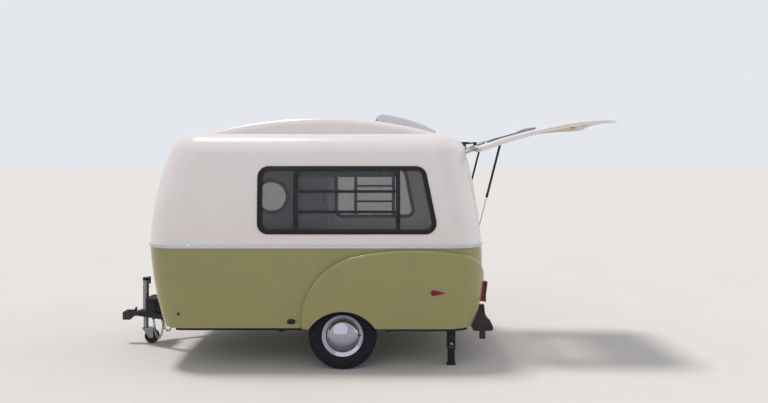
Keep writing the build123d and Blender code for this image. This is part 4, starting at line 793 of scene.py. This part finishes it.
# Windows: locking beads in the rubber, latches on the uprights
SIDE_FRAMES = Skin("side_window_frames")
NOSE_FRAME = Skin("front_window_frame")
WINDOW_LOW, WINDOW_HIGH = (corner.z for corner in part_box("side_window_frames"))
WINDOW_R = 0.1
WINDOW_SLANT = 0.125
SIDE_WINDOWS = ((-1, -0.897, 0.744), (1, -0.346, 0.641))
NOSE_WINDOW = corners_of(-0.62, 1.29, 0.62, 1.8)
BEADS = ((0.021, 0.0052), (0.009, 0.0028))
BEAD_LIFT = 0.0012

beads = Kit()
for inset, radius in BEADS:
    for side, front_x, rear_x in SIDE_WINDOWS:
        corners = [
            (front_x, WINDOW_LOW), (rear_x, WINDOW_LOW),
            (rear_x - WINDOW_SLANT, WINDOW_HIGH), (front_x, WINDOW_HIGH),
        ]
        starts = from_side(side, rounded_path(corners, WINDOW_R, inset))
        beads.lay(disc(radius, 8), SIDE_FRAMES, starts, (0, -side, 0), BEAD_LIFT, closed=True)
    starts = [(-2.4, y, z) for y, z in rounded_path(NOSE_WINDOW, WINDOW_R, inset)]
    beads.lay(disc(radius, 8), NOSE_FRAME, starts, (1, 0, 0), BEAD_LIFT, closed=True)
beads.done("window_beads", "window_rubber", sharp=60)

catches = Kit()
CATCH_KNOB = [(0, 0.008), (0.006, 0.0076), (0.0075, 0.006)]
for side, uprights in ((-1, (-0.552, 0.375)), (1, (-0.092, 0.362))):
    places = from_side(side, [(x, z) for x in uprights for z in (1.36, 1.70)])
    for spot, normal in zip(*SIDE_FRAMES.trace(places, (0, -side, 0))):
        catches.brick(spot + normal * 0.004, (0.022, 0.012, 0.052), 0.003)
        catches.lathe(spot + normal * 0.008, normal, CATCH_KNOB, 16)
        catches.brick(spot + normal * 0.013 - UP * 0.012, (0.009, 0.006, 0.034), 0.0025)
catches.done("window_catches", "hinge_black")

# The blind rolled up inside the near window, on two brackets
blind = Kit()
ROLL = [(0, 0.004), (0.002, 0.026), (0.008, 0.029), (0.92, 0.029), (0.926, 0.026), (0.928, 0.004)]
blind.lathe((-0.55, -0.927, 1.797), (1, 0, 0), ROLL, 28)
for x in (-0.556, 0.384):
    blind.brick((x, -0.938, 1.797), (0.006, 0.058, 0.05), 0.002)
blind.sweep([(-0.54, -0.93, 1.766), (0.37, -0.93, 1.766)], bar(0.012, 0.02, 0.004))
blind.done("window_blind", "vent_gasket")

# Belt strip screws all the way round
STRIP = Skin("seam_strip")
STRIP_Z = sum(corner.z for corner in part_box("seam_strip")) / 2
SCREW_STEP = 0.148
belt = Kit()
last = None
for angle in turns(1440):
    way = Vector((cos(angle), sin(angle), 0))
    found = STRIP.hit(Vector((-0.4, 0, STRIP_Z)) + way * 3.0, -way)
    if not found or abs(found[1].z) > 0.5 or found[1].dot(way) < 0.3:
        continue
    if last is None or (found[0] - last).length > SCREW_STEP:
        belt.screw(*found, 0.0058, 0.0022)
        last = found[0]
belt.done("belt_screws", "seam_trim")

# Rear hatch: seal on its jamb, latches and grab handle underneath, turn handle outside
HATCH = Skin("hatch_skin", "hatch_lining")
JAMB_RING = corners_of(-0.763, 0.627, 0.763, 2.046)
seal = Kit()
starts = [(1.6, y, z) for y, z in rounded_path(JAMB_RING, [0.19, 0.19, 0.09, 0.09])]
seal.lay(disc(0.0055), Skin("hatch_jamb"), starts, (-1, 0, 0), 0.002, closed=True)
seal.done("hatch_seal", "window_rubber", sharp=60)

under = Kit()
LATCH_KNOB = [(0, 0.012), (0.006, 0.011), (0.008, 0.008)]
for spot, normal in zip(*HATCH.trace([(2.36, -0.43, 1.4), (2.36, 0.43, 1.4)], UP)):
    under.brick(spot + normal * 0.003, (0.05, 0.036, 0.008), 0.003)
    under.lathe(spot + normal * 0.006, normal, LATCH_KNOB, 20)
    under.brick(spot + normal * 0.016, (0.04, 0.01, 0.006), 0.002)
grip = []
for t in spread(0, 1, 13):
    found = HATCH.hit((2.37, -0.11 + 0.22 * t, 1.4), UP)
    if found:
        grip.append(found[0] + found[1] * 0.022 * min(1, sin(pi * t) * 2.2))
under.sweep(grip, disc(0.0055, 12), up=(1, 0, 0))
for end in (grip[0], grip[-1]):
    under.lathe(end, -UP, [(0.0, 0.013), (0.003, 0.013), (0.0045, 0.01)], 18)
under.done("hatch_fittings", "seam_trim", body="hatch")

outer = Kit()
ROSETTE = [(-0.001, 0.032), (0.004, 0.032), (0.007, 0.028), (0.0065, 0.02), (0.003, 0.018)]
for spot, normal in zip(*HATCH.trace([(2.43, 0, 3.0)], -UP)):
    outer.lathe(spot, normal, ROSETTE, 28)
    outer.brick(spot + normal * 0.009, (0.016, 0.056, 0.01), 0.004)
outer.done("hatch_outer_handle", "hinge_black", body="hatch")

# Collars on the gas struts, screws through the hatch hinges
for side, name in SIDES:
    tube_low, tube_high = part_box(f"strut_tube_{name}")
    rod_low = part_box(f"strut_rod_{name}")[0]
    y = (tube_low.y + tube_high.y) / 2
    foot = Vector((rod_low.x, y, rod_low.z))
    way = (Vector((tube_high.x, y, tube_high.z)) - foot).normalized()
    upper = Kit()
    for start, length in ((0.535, 0.016), (0.556, 0.006)):
        collar = [(0, 0.0105), (0, 0.0118), (0.002, 0.0128)]
        collar += [(length - 0.002, 0.0128), (length, 0.0118), (length, 0.0105)]
        upper.lathe(foot + way * start, way, collar, 20, closed=True)
    upper.done(f"strut_collar_{name}", "strut_black", body=f"strut_{name}")

LEAVES = Skin("hatch_hinges")
HINGE_Y = 0.43
hinge = Kit()
for side, _ in SIDES:
    for dy in (-0.011, 0.011):
        for x in (1.165, 1.195, 1.225):
            LEAVES.fix(hinge.screw, (x, side * HINGE_Y + dy, 1.8), UP, 0.0045)
hinge.done("hatch_hinge_screws", "hinge_black", body="hatch")

# Entry door: seal, lock, porthole screws, drip rail above it and grab rail beside it
DOOR_WAY = (0, -1, 0)
DOOR_CORNERS = corners_of(-1.392, 0.455, -0.812, 1.93)
seal = Kit()
starts = from_side(1, rounded_path(DOOR_CORNERS, 0.09, 0.012))
seal.lay(disc(0.0045, 8), Skin("entry_door"), starts, DOOR_WAY, 0.001, closed=True)
seal.done("door_seal", "window_rubber", body="entry_door_body", sharp=60)

LATCH = Skin("door_latch", "entry_door")
LATCH_X = -0.882
LOCK = [(-0.001, 0.012), (0.002, 0.012), (0.003, 0.0105), (0.003, 0.008), (0.0022, 0.0075)]
lock = Kit()
for spot, normal in zip(*LATCH.trace([(LATCH_X, OUTSIDE, 1.083)], DOOR_WAY)):
    lock.lathe(spot, normal, LOCK, 20)
    lock.brick(spot + normal * 0.0028, (0.0022, 0.0016, 0.009), 0.0005)
for spot, normal in zip(*LATCH.trace([(LATCH_X, OUTSIDE, 1.04)], DOOR_WAY)):
    lever = []
    for t in spread(0, 1, 9):
        lift = 0.006 + 0.012 * sin(pi * min(1, t * 1.15))
        lever.append(spot + normal * lift + UP * (0.022 - 0.05 * t))
    lock.sweep(lever, bar(0.034, 0.006, 0.002), up=(0, 1, 0))
    lock.lathe(spot + UP * 0.022, normal, [(0, 0.011), (0.008, 0.011), (0.01, 0.009)], 18)
lock.done("door_lock", "hinge_black", body="entry_door_body")

PORTHOLE = Skin("porthole_frame")
PORTHOLE_X = -1.102
PORTHOLE_Z = 1.5
PORTHOLE_R = 0.1925
port = Kit()
for a in turns(12, 0.5):
    x = PORTHOLE_X + PORTHOLE_R * cos(a)
    z = PORTHOLE_Z + PORTHOLE_R * sin(a)
    PORTHOLE.fix(port.screw, (x, OUTSIDE, z), DOOR_WAY, 0.0046, 0.002)
port.done("porthole_screws", "seam_trim", body="entry_door_body")

WALLS = Skin("upper_shell", "lower_shell")
rail = Kit()
arch = [(-1.47 + 0.72 * t, 1.972 - 0.02 * abs(2 * t - 1) ** 4) for t in spread(0, 1, 33)]
rail.lay(bar(0.014, 0.009, 0.003), WALLS, from_side(1, arch), DOOR_WAY, 0.003)
rail.done("door_drip_rail", "seam_trim", sharp=50)

GRAB_FOOT = [(-0.002, 0.021), (0.004, 0.021), (0.007, 0.017), (0.011, 0.011)]
grab = Kit()
line = []
ends = []
for t in spread(0, 1, 15):
    spot, normal = WALLS.hit((-0.745, OUTSIDE, 0.99 + 0.26 * t), DOOR_WAY)
    line.append(spot + normal * (0.002 + 0.034 * min(1, sin(pi * t) * 2.4)))
    if t in (0, 1):
        ends.append((spot, normal))
grab.sweep(line, disc(0.0095, 12), up=(1, 0, 0))
for spot, normal in ends:
    grab.lathe(spot, normal, GRAB_FOOT, 20)
grab.done("door_grab_rail", "seam_trim")

# Roof vent: stiffening ribs on the lid and screws along its skirt
LID = Skin("vent_lid")
lid_low, lid_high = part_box("vent_lid")
vent = Kit()
for y in (-0.126, -0.042, 0.042, 0.126):
    starts = [(x, y, 2.7) for x in spread(lid_low.x + 0.10, lid_high.x - 0.10, 25)]
    line, normals = LID.trace(starts, -UP, 0.0005)
    flat = [i for i, normal in enumerate(normals) if normal.z > 0.5]
    vent.sweep([line[i] for i in flat], bar(0.014, 0.005, 0.002), up=[normals[i] for i in flat])
vent.done("vent_ribs", "vent_white", body="vent_lid_body", sharp=50)

skirt = Kit()
for side, _ in SIDES:
    for x, rise in ((0.26, 0.09), (0.46, 0.09), (0.66, 0.072)):
        start = (x, side * 0.6, lid_low.z + rise)
        LID.fix(skirt.screw, start, (0, -side, 0), 0.005, 0.0022, facing=0.5)
skirt.done("vent_screws", "chain_zinc", body="vent_lid_body")

# Lamps: bezels, and ribs moulded in the lenses
LAMPS = Skin("tail_lights")
MARKERS = Skin("side_markers")
LAMP_Y = 0.81
LAMP_LOW = 0.592
LAMP_HIGH = 0.782
LAMP_HALF = 0.034
MARKER_X = 0.730
MARKER_Z = 0.719
bezels = Kit()
ribs = Kit()
for side, _ in SIDES:
    y = side * LAMP_Y
    corners = corners_of(y - LAMP_HALF, LAMP_LOW, y + LAMP_HALF, LAMP_HIGH)
    line = [(1.192, a, b) for a, b in rounded_path(corners, 0.02, gap=0.02)]
    bezels.sweep(line, bar(0.010, 0.008, 0.002), closed=True, up=(1, 0, 0))
    for step in range(13):
        z = 0.606 + 0.0127 * step
        starts = [(1.5, y + offset, z) for offset in spread(-0.024, 0.024, 7)]
        line = LAMPS.trace(starts, (-1, 0, 0))[0]
        if len(line) > 2 and LAMPS.hit((1.5, y, z), (-1, 0, 0)):
            ribs.sweep(line, disc(0.0016, 6), up=(1, 0, 0))
    for z in (0.612, 0.762):
        LAMPS.fix(bezels.screw, (1.5, y, z), (-1, 0, 0), 0.004, 0.0022)
    for x in spread(MARKER_X - 0.042, MARKER_X + 0.042, 7):
        starts = from_side(side, [(x, z) for z in spread(MARKER_Z - 0.018, MARKER_Z + 0.018, 7)])
        line = MARKERS.trace(starts, (0, -side, 0), -0.0011)[0]
        if len(line) > 2:
            ribs.sweep(line, disc(0.0011, 6), up=(0, 1, 0))
bezels.done("lamp_bezels", "port_black")
ribs.done("lens_ribs", "lamp_red", sharp=60)

# Cable port: cover with its hinge and finger tab
flap = Kit()
COVER = [(-0.001, 0.017), (0.004, 0.017), (0.006, 0.0145), (0.0055, 0.009)]
for spot, normal in zip(*Skin("cable_port").trace([(-0.59, -OUTSIDE, 0.45)], (0, 1, 0))):
    flap.lathe(spot, normal, COVER, 24)
    flap.brick(spot + normal * 0.006 - UP * 0.014, (0.014, 0.006, 0.006), 0.002)
    barrel = spot + normal * 0.004 + Vector((-0.014, 0, 0.0165))
    flap.lathe(barrel, (1, 0, 0), [(0, 0.003), (0.028, 0.003)], 12)
flap.done("cable_port_cover", "port_black")

# Step bumper: raised tread lozenges on the step, bolts on its face
STEP = Skin("step_bumper")
LOZENGE = ((1.0, -0.0005), (0.82, 0.0016), (0.3, 0.0024))
LOZENGE_LONG = 0.0095
LOZENGE_WIDE = 0.0034
tread = Kit()
for row in range(4):
    for column in range(50):
        x = 1.105 + 0.0245 * row
        y = -0.772 + 0.0315 * column + (0.0157 if row % 2 else 0)
        found = STEP.hit((x, y, 0.9), -UP)
        if not found or found[1].z < 0.8 or found[0].z < 0.42:
            continue
        lean = radians(45 if (row + column) % 2 else -45)
        long = Vector((cos(lean), sin(lean), 0)) * LOZENGE_LONG
        wide = Vector((-sin(lean), cos(lean), 0)) * LOZENGE_WIDE
        rings = []
        for scale, lift in LOZENGE:
            middle = found[0] + UP * lift
            rings.append([
                middle + (long * cos(a) + wide * sin(a)) * scale for a in turns(8)
            ])
        tread.skin(rings)
for y in (-0.62, -0.3, 0.3, 0.62):
    STEP.fix(tread.bolt, (1.6, y, 0.375), (-1, 0, 0), 0.009)
tread.done("step_tread", "bumper_black", sharp=50)

# Drop legs: cross pins with rings, and the adjusting holes on all four faces
LEGS = Skin("stabiliser_legs")
LEG_X = 0.877
LEG_Y = 0.78
PIN = [(-0.092, 0.0065), (-0.09, 0.007), (0.010, 0.007)]
PIN += [(0.011, 0.012), (0.014, 0.012), (0.016, 0.009)]
HOLE = [(0.0004, 0.0115), (0.0012, 0.0105), (0.0012, 0.0085), (-0.0008, 0.0078)]
legs = Kit()
holes = Kit()
for side, _ in SIDES:
    for spot, normal in zip(*LEGS.trace([(LEG_X, side * 2, 0.20)], (0, -side, 0))):
        legs.lathe(spot, normal, PIN, 16)
        middle = spot + normal * 0.016 + Vector((0, 0.002, -0.017))
        ring = [middle + Vector((cos(a), 0, sin(a))) * 0.017 for a in turns(20)]
        legs.sweep(ring, disc(0.0017, 6), closed=True, up=(0, 1, 0))
    for z in (0.045, 0.09, 0.135):
        for way in ((0, -1, 0), (0, 1, 0), (-1, 0, 0), (1, 0, 0)):
            start = Vector((LEG_X, side * LEG_Y, z)) + Vector(way) * 0.3
            for spot, normal in zip(*LEGS.trace([start], -Vector(way))):
                holes.lathe(spot, normal, HOLE, 20)
legs.done("leg_pins", "chain_zinc")
holes.done("leg_holes", "frame_black")

# Bolts up through the axle's seats and the rails, met from below
BEAM = Skin("axle_beam", "swing_arms", "chassis_frame")
AXLE_BOLTS = [(x, y, 0.008) for x in (-0.285, -0.233) for y in (0.52, 0.60)]
RAIL_BOLTS = [(x, 0.93, 0.0085) for x in (-1.45, -0.9, -0.4, 0.15, 0.6, 0.95)]
axle = Kit()
for side, _ in SIDES:
    for x, y, radius in AXLE_BOLTS + RAIL_BOLTS:
        BEAM.fix(axle.bolt, (x, side * y, 0.1), UP, radius, facing=0.8)
axle.done("underbody_bolts", "chain_zinc")

# Sill strips under the edge of the lower moulding, broken at the wheels
SILL = Skin("lower_shell")
sills = Kit()
for side, _ in SIDES:
    for start, end in ((-1.64, -0.50), (0.26, 1.0)):
        line = []
        for x in spread(start, end, 41):
            found = SILL.hit((x, side * OUTSIDE, 0.396), (0, -side, 0))
            if found and abs(found[0].y) > 0.6:
                line.append(Vector((x, found[0].y - side * 0.016, 0.381)))
        sills.sweep(line, bar(0.014, 0.026, 0.003))
sills.done("sill_strips", "frame_black", sharp=50)

# Nose: bolts, battery strap and lid, jack collars and crank grip
NOSE = Skin("a_frame", "coupler")
nose = Kit()
for x in (-2.34, -2.31):
    for y in (-0.024, 0.024):
        NOSE.fix(nose.bolt, (x, y, 0.6), -UP, 0.0065, facing=0.8)
for x in (-1.62, -1.54):
    for side, _ in SIDES:
        start = (x, side * (0.05 + (1.3 + x) * 0.577), 0.1)
        NOSE.fix(nose.bolt, start, UP, 0.009, facing=0.8)
nose.done("nose_bolts", "chain_zinc")

BOX = Skin("battery_box")
box_low, box_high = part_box("battery_box")
box_x = (box_low.x + box_high.x) / 2
rise = spread(box_low.z + 0.004, box_high.z - 0.008, 9)
over = spread(box_low.y, box_high.y, 17)[1:-1]
battery = Kit()
line = []
ups = []
for starts, way in (
    ([(box_x, -0.4, z) for z in rise], Vector((0, 1, 0))),
    ([(box_x, y, 0.9) for y in over], -UP),
    ([(box_x, 0.4, z) for z in reversed(rise)], Vector((0, -1, 0))),
):
    for spot in BOX.trace(starts, way)[0]:
        line.append(spot - way * 0.0015)
        ups.append(-way)
battery.sweep(line, bar(0.038, 0.003, 0.0008), up=ups)
for spot, normal in zip(*BOX.trace([(box_x, -0.4, 0.43)], (0, 1, 0))):
    battery.brick(spot + normal * 0.006, (0.05, 0.008, 0.04), 0.002)
    battery.brick(spot + normal * 0.011, (0.03, 0.004, 0.026), 0.0015)
battery.done("battery_strap", "port_black")

lid = Kit()
for x in (box_low.x + 0.03, box_low.x + 0.052, box_high.x - 0.052, box_high.x - 0.03):
    starts = [(x, y, 0.9) for y in spread(box_low.y + 0.03, box_high.y - 0.03, 13)]
    lid.lay(bar(0.01, 0.004, 0.0015), BOX, starts, -UP)
handle = []
for t in spread(0, 1, 11):
    spot, normal = BOX.hit((box_x - 0.055 + 0.11 * t, 0.4, 0.425), (0, -1, 0))
    lift = 0.001 + 0.018 * min(1, sin(pi * t) * 2.0)
    handle.append(spot + normal * lift - UP * 0.012 * sin(pi * t))
lid.sweep(handle, disc(0.005))
lid.done("battery_lid_ribs", "box_black")

tube_low, tube_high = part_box("jack_tube")
jack_x = (tube_low.x + tube_high.x) / 2
COLLAR = [(0, 0.0296), (0, 0.0302), (0.0015, 0.0335)]
COLLAR += [(0.0125, 0.0335), (0.014, 0.0302), (0.014, 0.0296)]
jack = Kit()
for z in (0.302, 0.40, 0.585):
    jack.lathe((jack_x, 0, z), UP, COLLAR, 32, closed=True)
for way in (-1, 1):
    jack.bolt((jack_x, way * 0.0325, 0.409), (0, way, 0), 0.0055)
jack.done("jack_collars", "jack_zinc")

crank_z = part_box("jack_crank")[0].z
GRIP_RING = [(0, 0.0112), (0.0012, 0.0122), (0.004, 0.0122), (0.0052, 0.0112)]
crank = Kit()
for spot in Skin("jack_crank").trace([(jack_x, 0.5, crank_z + 0.02)], (0, -1, 0))[0]:
    for step in range(6):
        place = (spot.x, spot.y - 0.011, crank_z + 0.008 + 0.0085 * step)
        crank.lathe(place, UP, GRIP_RING, 20)
crank.done("crank_grip", "port_black")

# Furniture: doors and handles on the benches, counter and wardrobe, the sink and its tap
BENCH = Skin("bench_units")
COUNTER = Skin("counter")
WARDROBE = Skin("wardrobe")
KNOB = [(0, 0.007), (0.008, 0.006), (0.012, 0.012), (0.018, 0.0125), (0.021, 0.009)]
WARDROBE_X = -0.559
PULL_X = -0.44
fittings = Kit()
knobs = Kit()
for side, _ in SIDES:
    for column in range(3):
        x = -0.359 + 1.35 * (column + 0.5) / 3
        for spot in BENCH.trace([(x, 0, 0.60)], (0, side, 0))[0]:
            fittings.brick((x, spot.y - side * 0.004, 0.61), (0.41, 0.009, 0.28), 0.003)
            knobs.lathe((x, spot.y - side * 0.008, 0.715), (0, -side, 0), KNOB, 18)
for y in (-0.62, -0.2, 0.22):
    for spot in COUNTER.trace([(-0.5, y, 0.68)], (-1, 0, 0))[0]:
        fittings.brick((spot.x + 0.004, y, 0.66), (0.009, 0.38, 0.36), 0.003)
        knobs.brick((spot.x + 0.022, y, 0.80), (0.009, 0.12, 0.009), 0.003)
        for offset in (-0.05, 0.05):
            post = [(0, 0.005), (0.016, 0.0045)]
            knobs.lathe((spot.x + 0.006, y + offset, 0.80), (1, 0, 0), post, 12)
for z, height in ((0.80, 0.62), (1.48, 0.66)):
    for spot in WARDROBE.trace([(WARDROBE_X, 0, z)], (0, 1, 0))[0]:
        fittings.brick((WARDROBE_X, spot.y - 0.004, z), (0.30, 0.009, height), 0.003)
        knobs.brick((PULL_X, spot.y - 0.02, z), (0.009, 0.009, 0.12), 0.003)
        for offset in (-0.05, 0.05):
            post = [(0, 0.005), (0.014, 0.0045)]
            knobs.lathe((PULL_X, spot.y - 0.004, z + offset), (0, -1, 0), post, 12)
fittings.done("furniture_doors", "furniture")
knobs.done("furniture_handles", "hinge_black")

SINK = corners_of(-1.78, -0.5, -1.50, -0.14)
TAP_X = -1.80
TAP_Y = -0.32
TAP_R = 0.055
TAP_FOOT = [(0, 0.022), (0.004, 0.022), (0.01, 0.014), (0.03, 0.012)]
DRAIN = [(0, 0.02), (0.002, 0.02), (0.0025, 0.017)]
sink = Kit()
top = COUNTER.hit((-1.62, TAP_Y, 1.5), -UP)[0].z
for inset, lift, section in (
    (0.0, 0.002, bar(0.018, 0.005, 0.002)),
    (0.012, 0.0012, bar(0.014, 0.002, 0.0008)),
    (0.03, 0.0008, bar(0.014, 0.002, 0.0008)),
):
    line = [(a, b, top + lift) for a, b in rounded_path(SINK, 0.06, inset)]
    sink.sweep(line, section, closed=True)
tap = [Vector((TAP_X, TAP_Y, top)), Vector((TAP_X, TAP_Y, top + 0.06))]
for a in spread(0, pi, 17):
    x = TAP_X + TAP_R * (1 - cos(a))
    tap.append(Vector((x, TAP_Y, top + 0.11 + TAP_R * sin(a))))
tap.append(tap[-1] - UP * 0.02)
sink.sweep(tap, disc(0.008, 12), up=(0, 1, 0))
sink.lathe((TAP_X, TAP_Y, top), UP, TAP_FOOT, 24)
sink.lathe((-1.64, TAP_Y, top + 0.0005), UP, DRAIN, 24)
sink.done("sink_and_tap", "seam_trim")


# Stage, lights and camera

FLOOR_HALF = 900
WORLD_POWER = 0.58

ground = bmesh.new()
corners = corners_of(-FLOOR_HALF, -FLOOR_HALF, FLOOR_HALF, FLOOR_HALF)
ground.faces.new([ground.verts.new((x, y, 0)) for x, y in corners])
ground_mesh = bpy.data.meshes.new("studio_floor")
ground.to_mesh(ground_mesh)
ground.free()
floor = placed("studio_floor", ground_mesh)
dress(floor, pale("studio_floor", srgb(214, 209, 203)))

# The world lights the object softly, and shows paler to the camera, in gloss and in glass
world = bpy.data.worlds.new("studio")
SCENE.world = world
world.use_nodes = True
sky = Nodes(world.node_tree)
seen = sky.add("ShaderNodeBackground", Color=srgb(228, 231, 236))
lit = sky.add("ShaderNodeBackground", Color=srgb(232, 238, 250), Strength=WORLD_POWER)
rays = sky.add("ShaderNodeLightPath")
shown = sky.combine("MAXIMUM", rays, "Is Camera Ray", rays, "Is Glossy Ray")
shown = sky.combine("MAXIMUM", shown, 0, rays, "Is Transmission Ray")
choose = sky.join(shown, 0, sky.add("ShaderNodeMixShader"), 0)
sky.join(lit, 0, choose, 1)
sky.join(seen, 0, choose, 2)
sky.join(choose, 0, sky.add("ShaderNodeOutputWorld"), 0)


def sun(name, power, way, softness, colour=(1, 1, 1), gloss=1.0):
    """Even light from one side: way points from the lamp to the object."""
    data = bpy.data.lights.new(name, "SUN")
    data.energy = power
    data.angle = radians(softness)
    data.color = colour
    data.specular_factor = gloss
    placed(name, data).rotation_euler = Vector(way).to_track_quat("-Z", "Y").to_euler()


sun("key", 1.95, (0.28, -0.1, -1.0), 12, (1.0, 0.985, 0.965))
sun("near_fill", 0.55, (0.25, 1.0, -0.35), 70, gloss=0.0)
sun("rear_fill", 0.7, (-1.0, -0.1, -0.3), 70, gloss=0.0)

camera_data = bpy.data.cameras.new("photo_camera")
camera = placed("photo_camera", camera_data)
camera_data.sensor_width = SENSOR_MM
camera_data.lens = SENSOR_MM * FOCAL_PX / PHOTO_W
camera_data.shift_y = -(PHOTO_H / 2 - HORIZON_V) / PHOTO_W
camera_data.clip_end = 4000
camera.location = EYE
camera.rotation_euler = (radians(90), 0, 0)
SCENE.camera = camera
SCENE.view_settings.view_transform = "Standard"
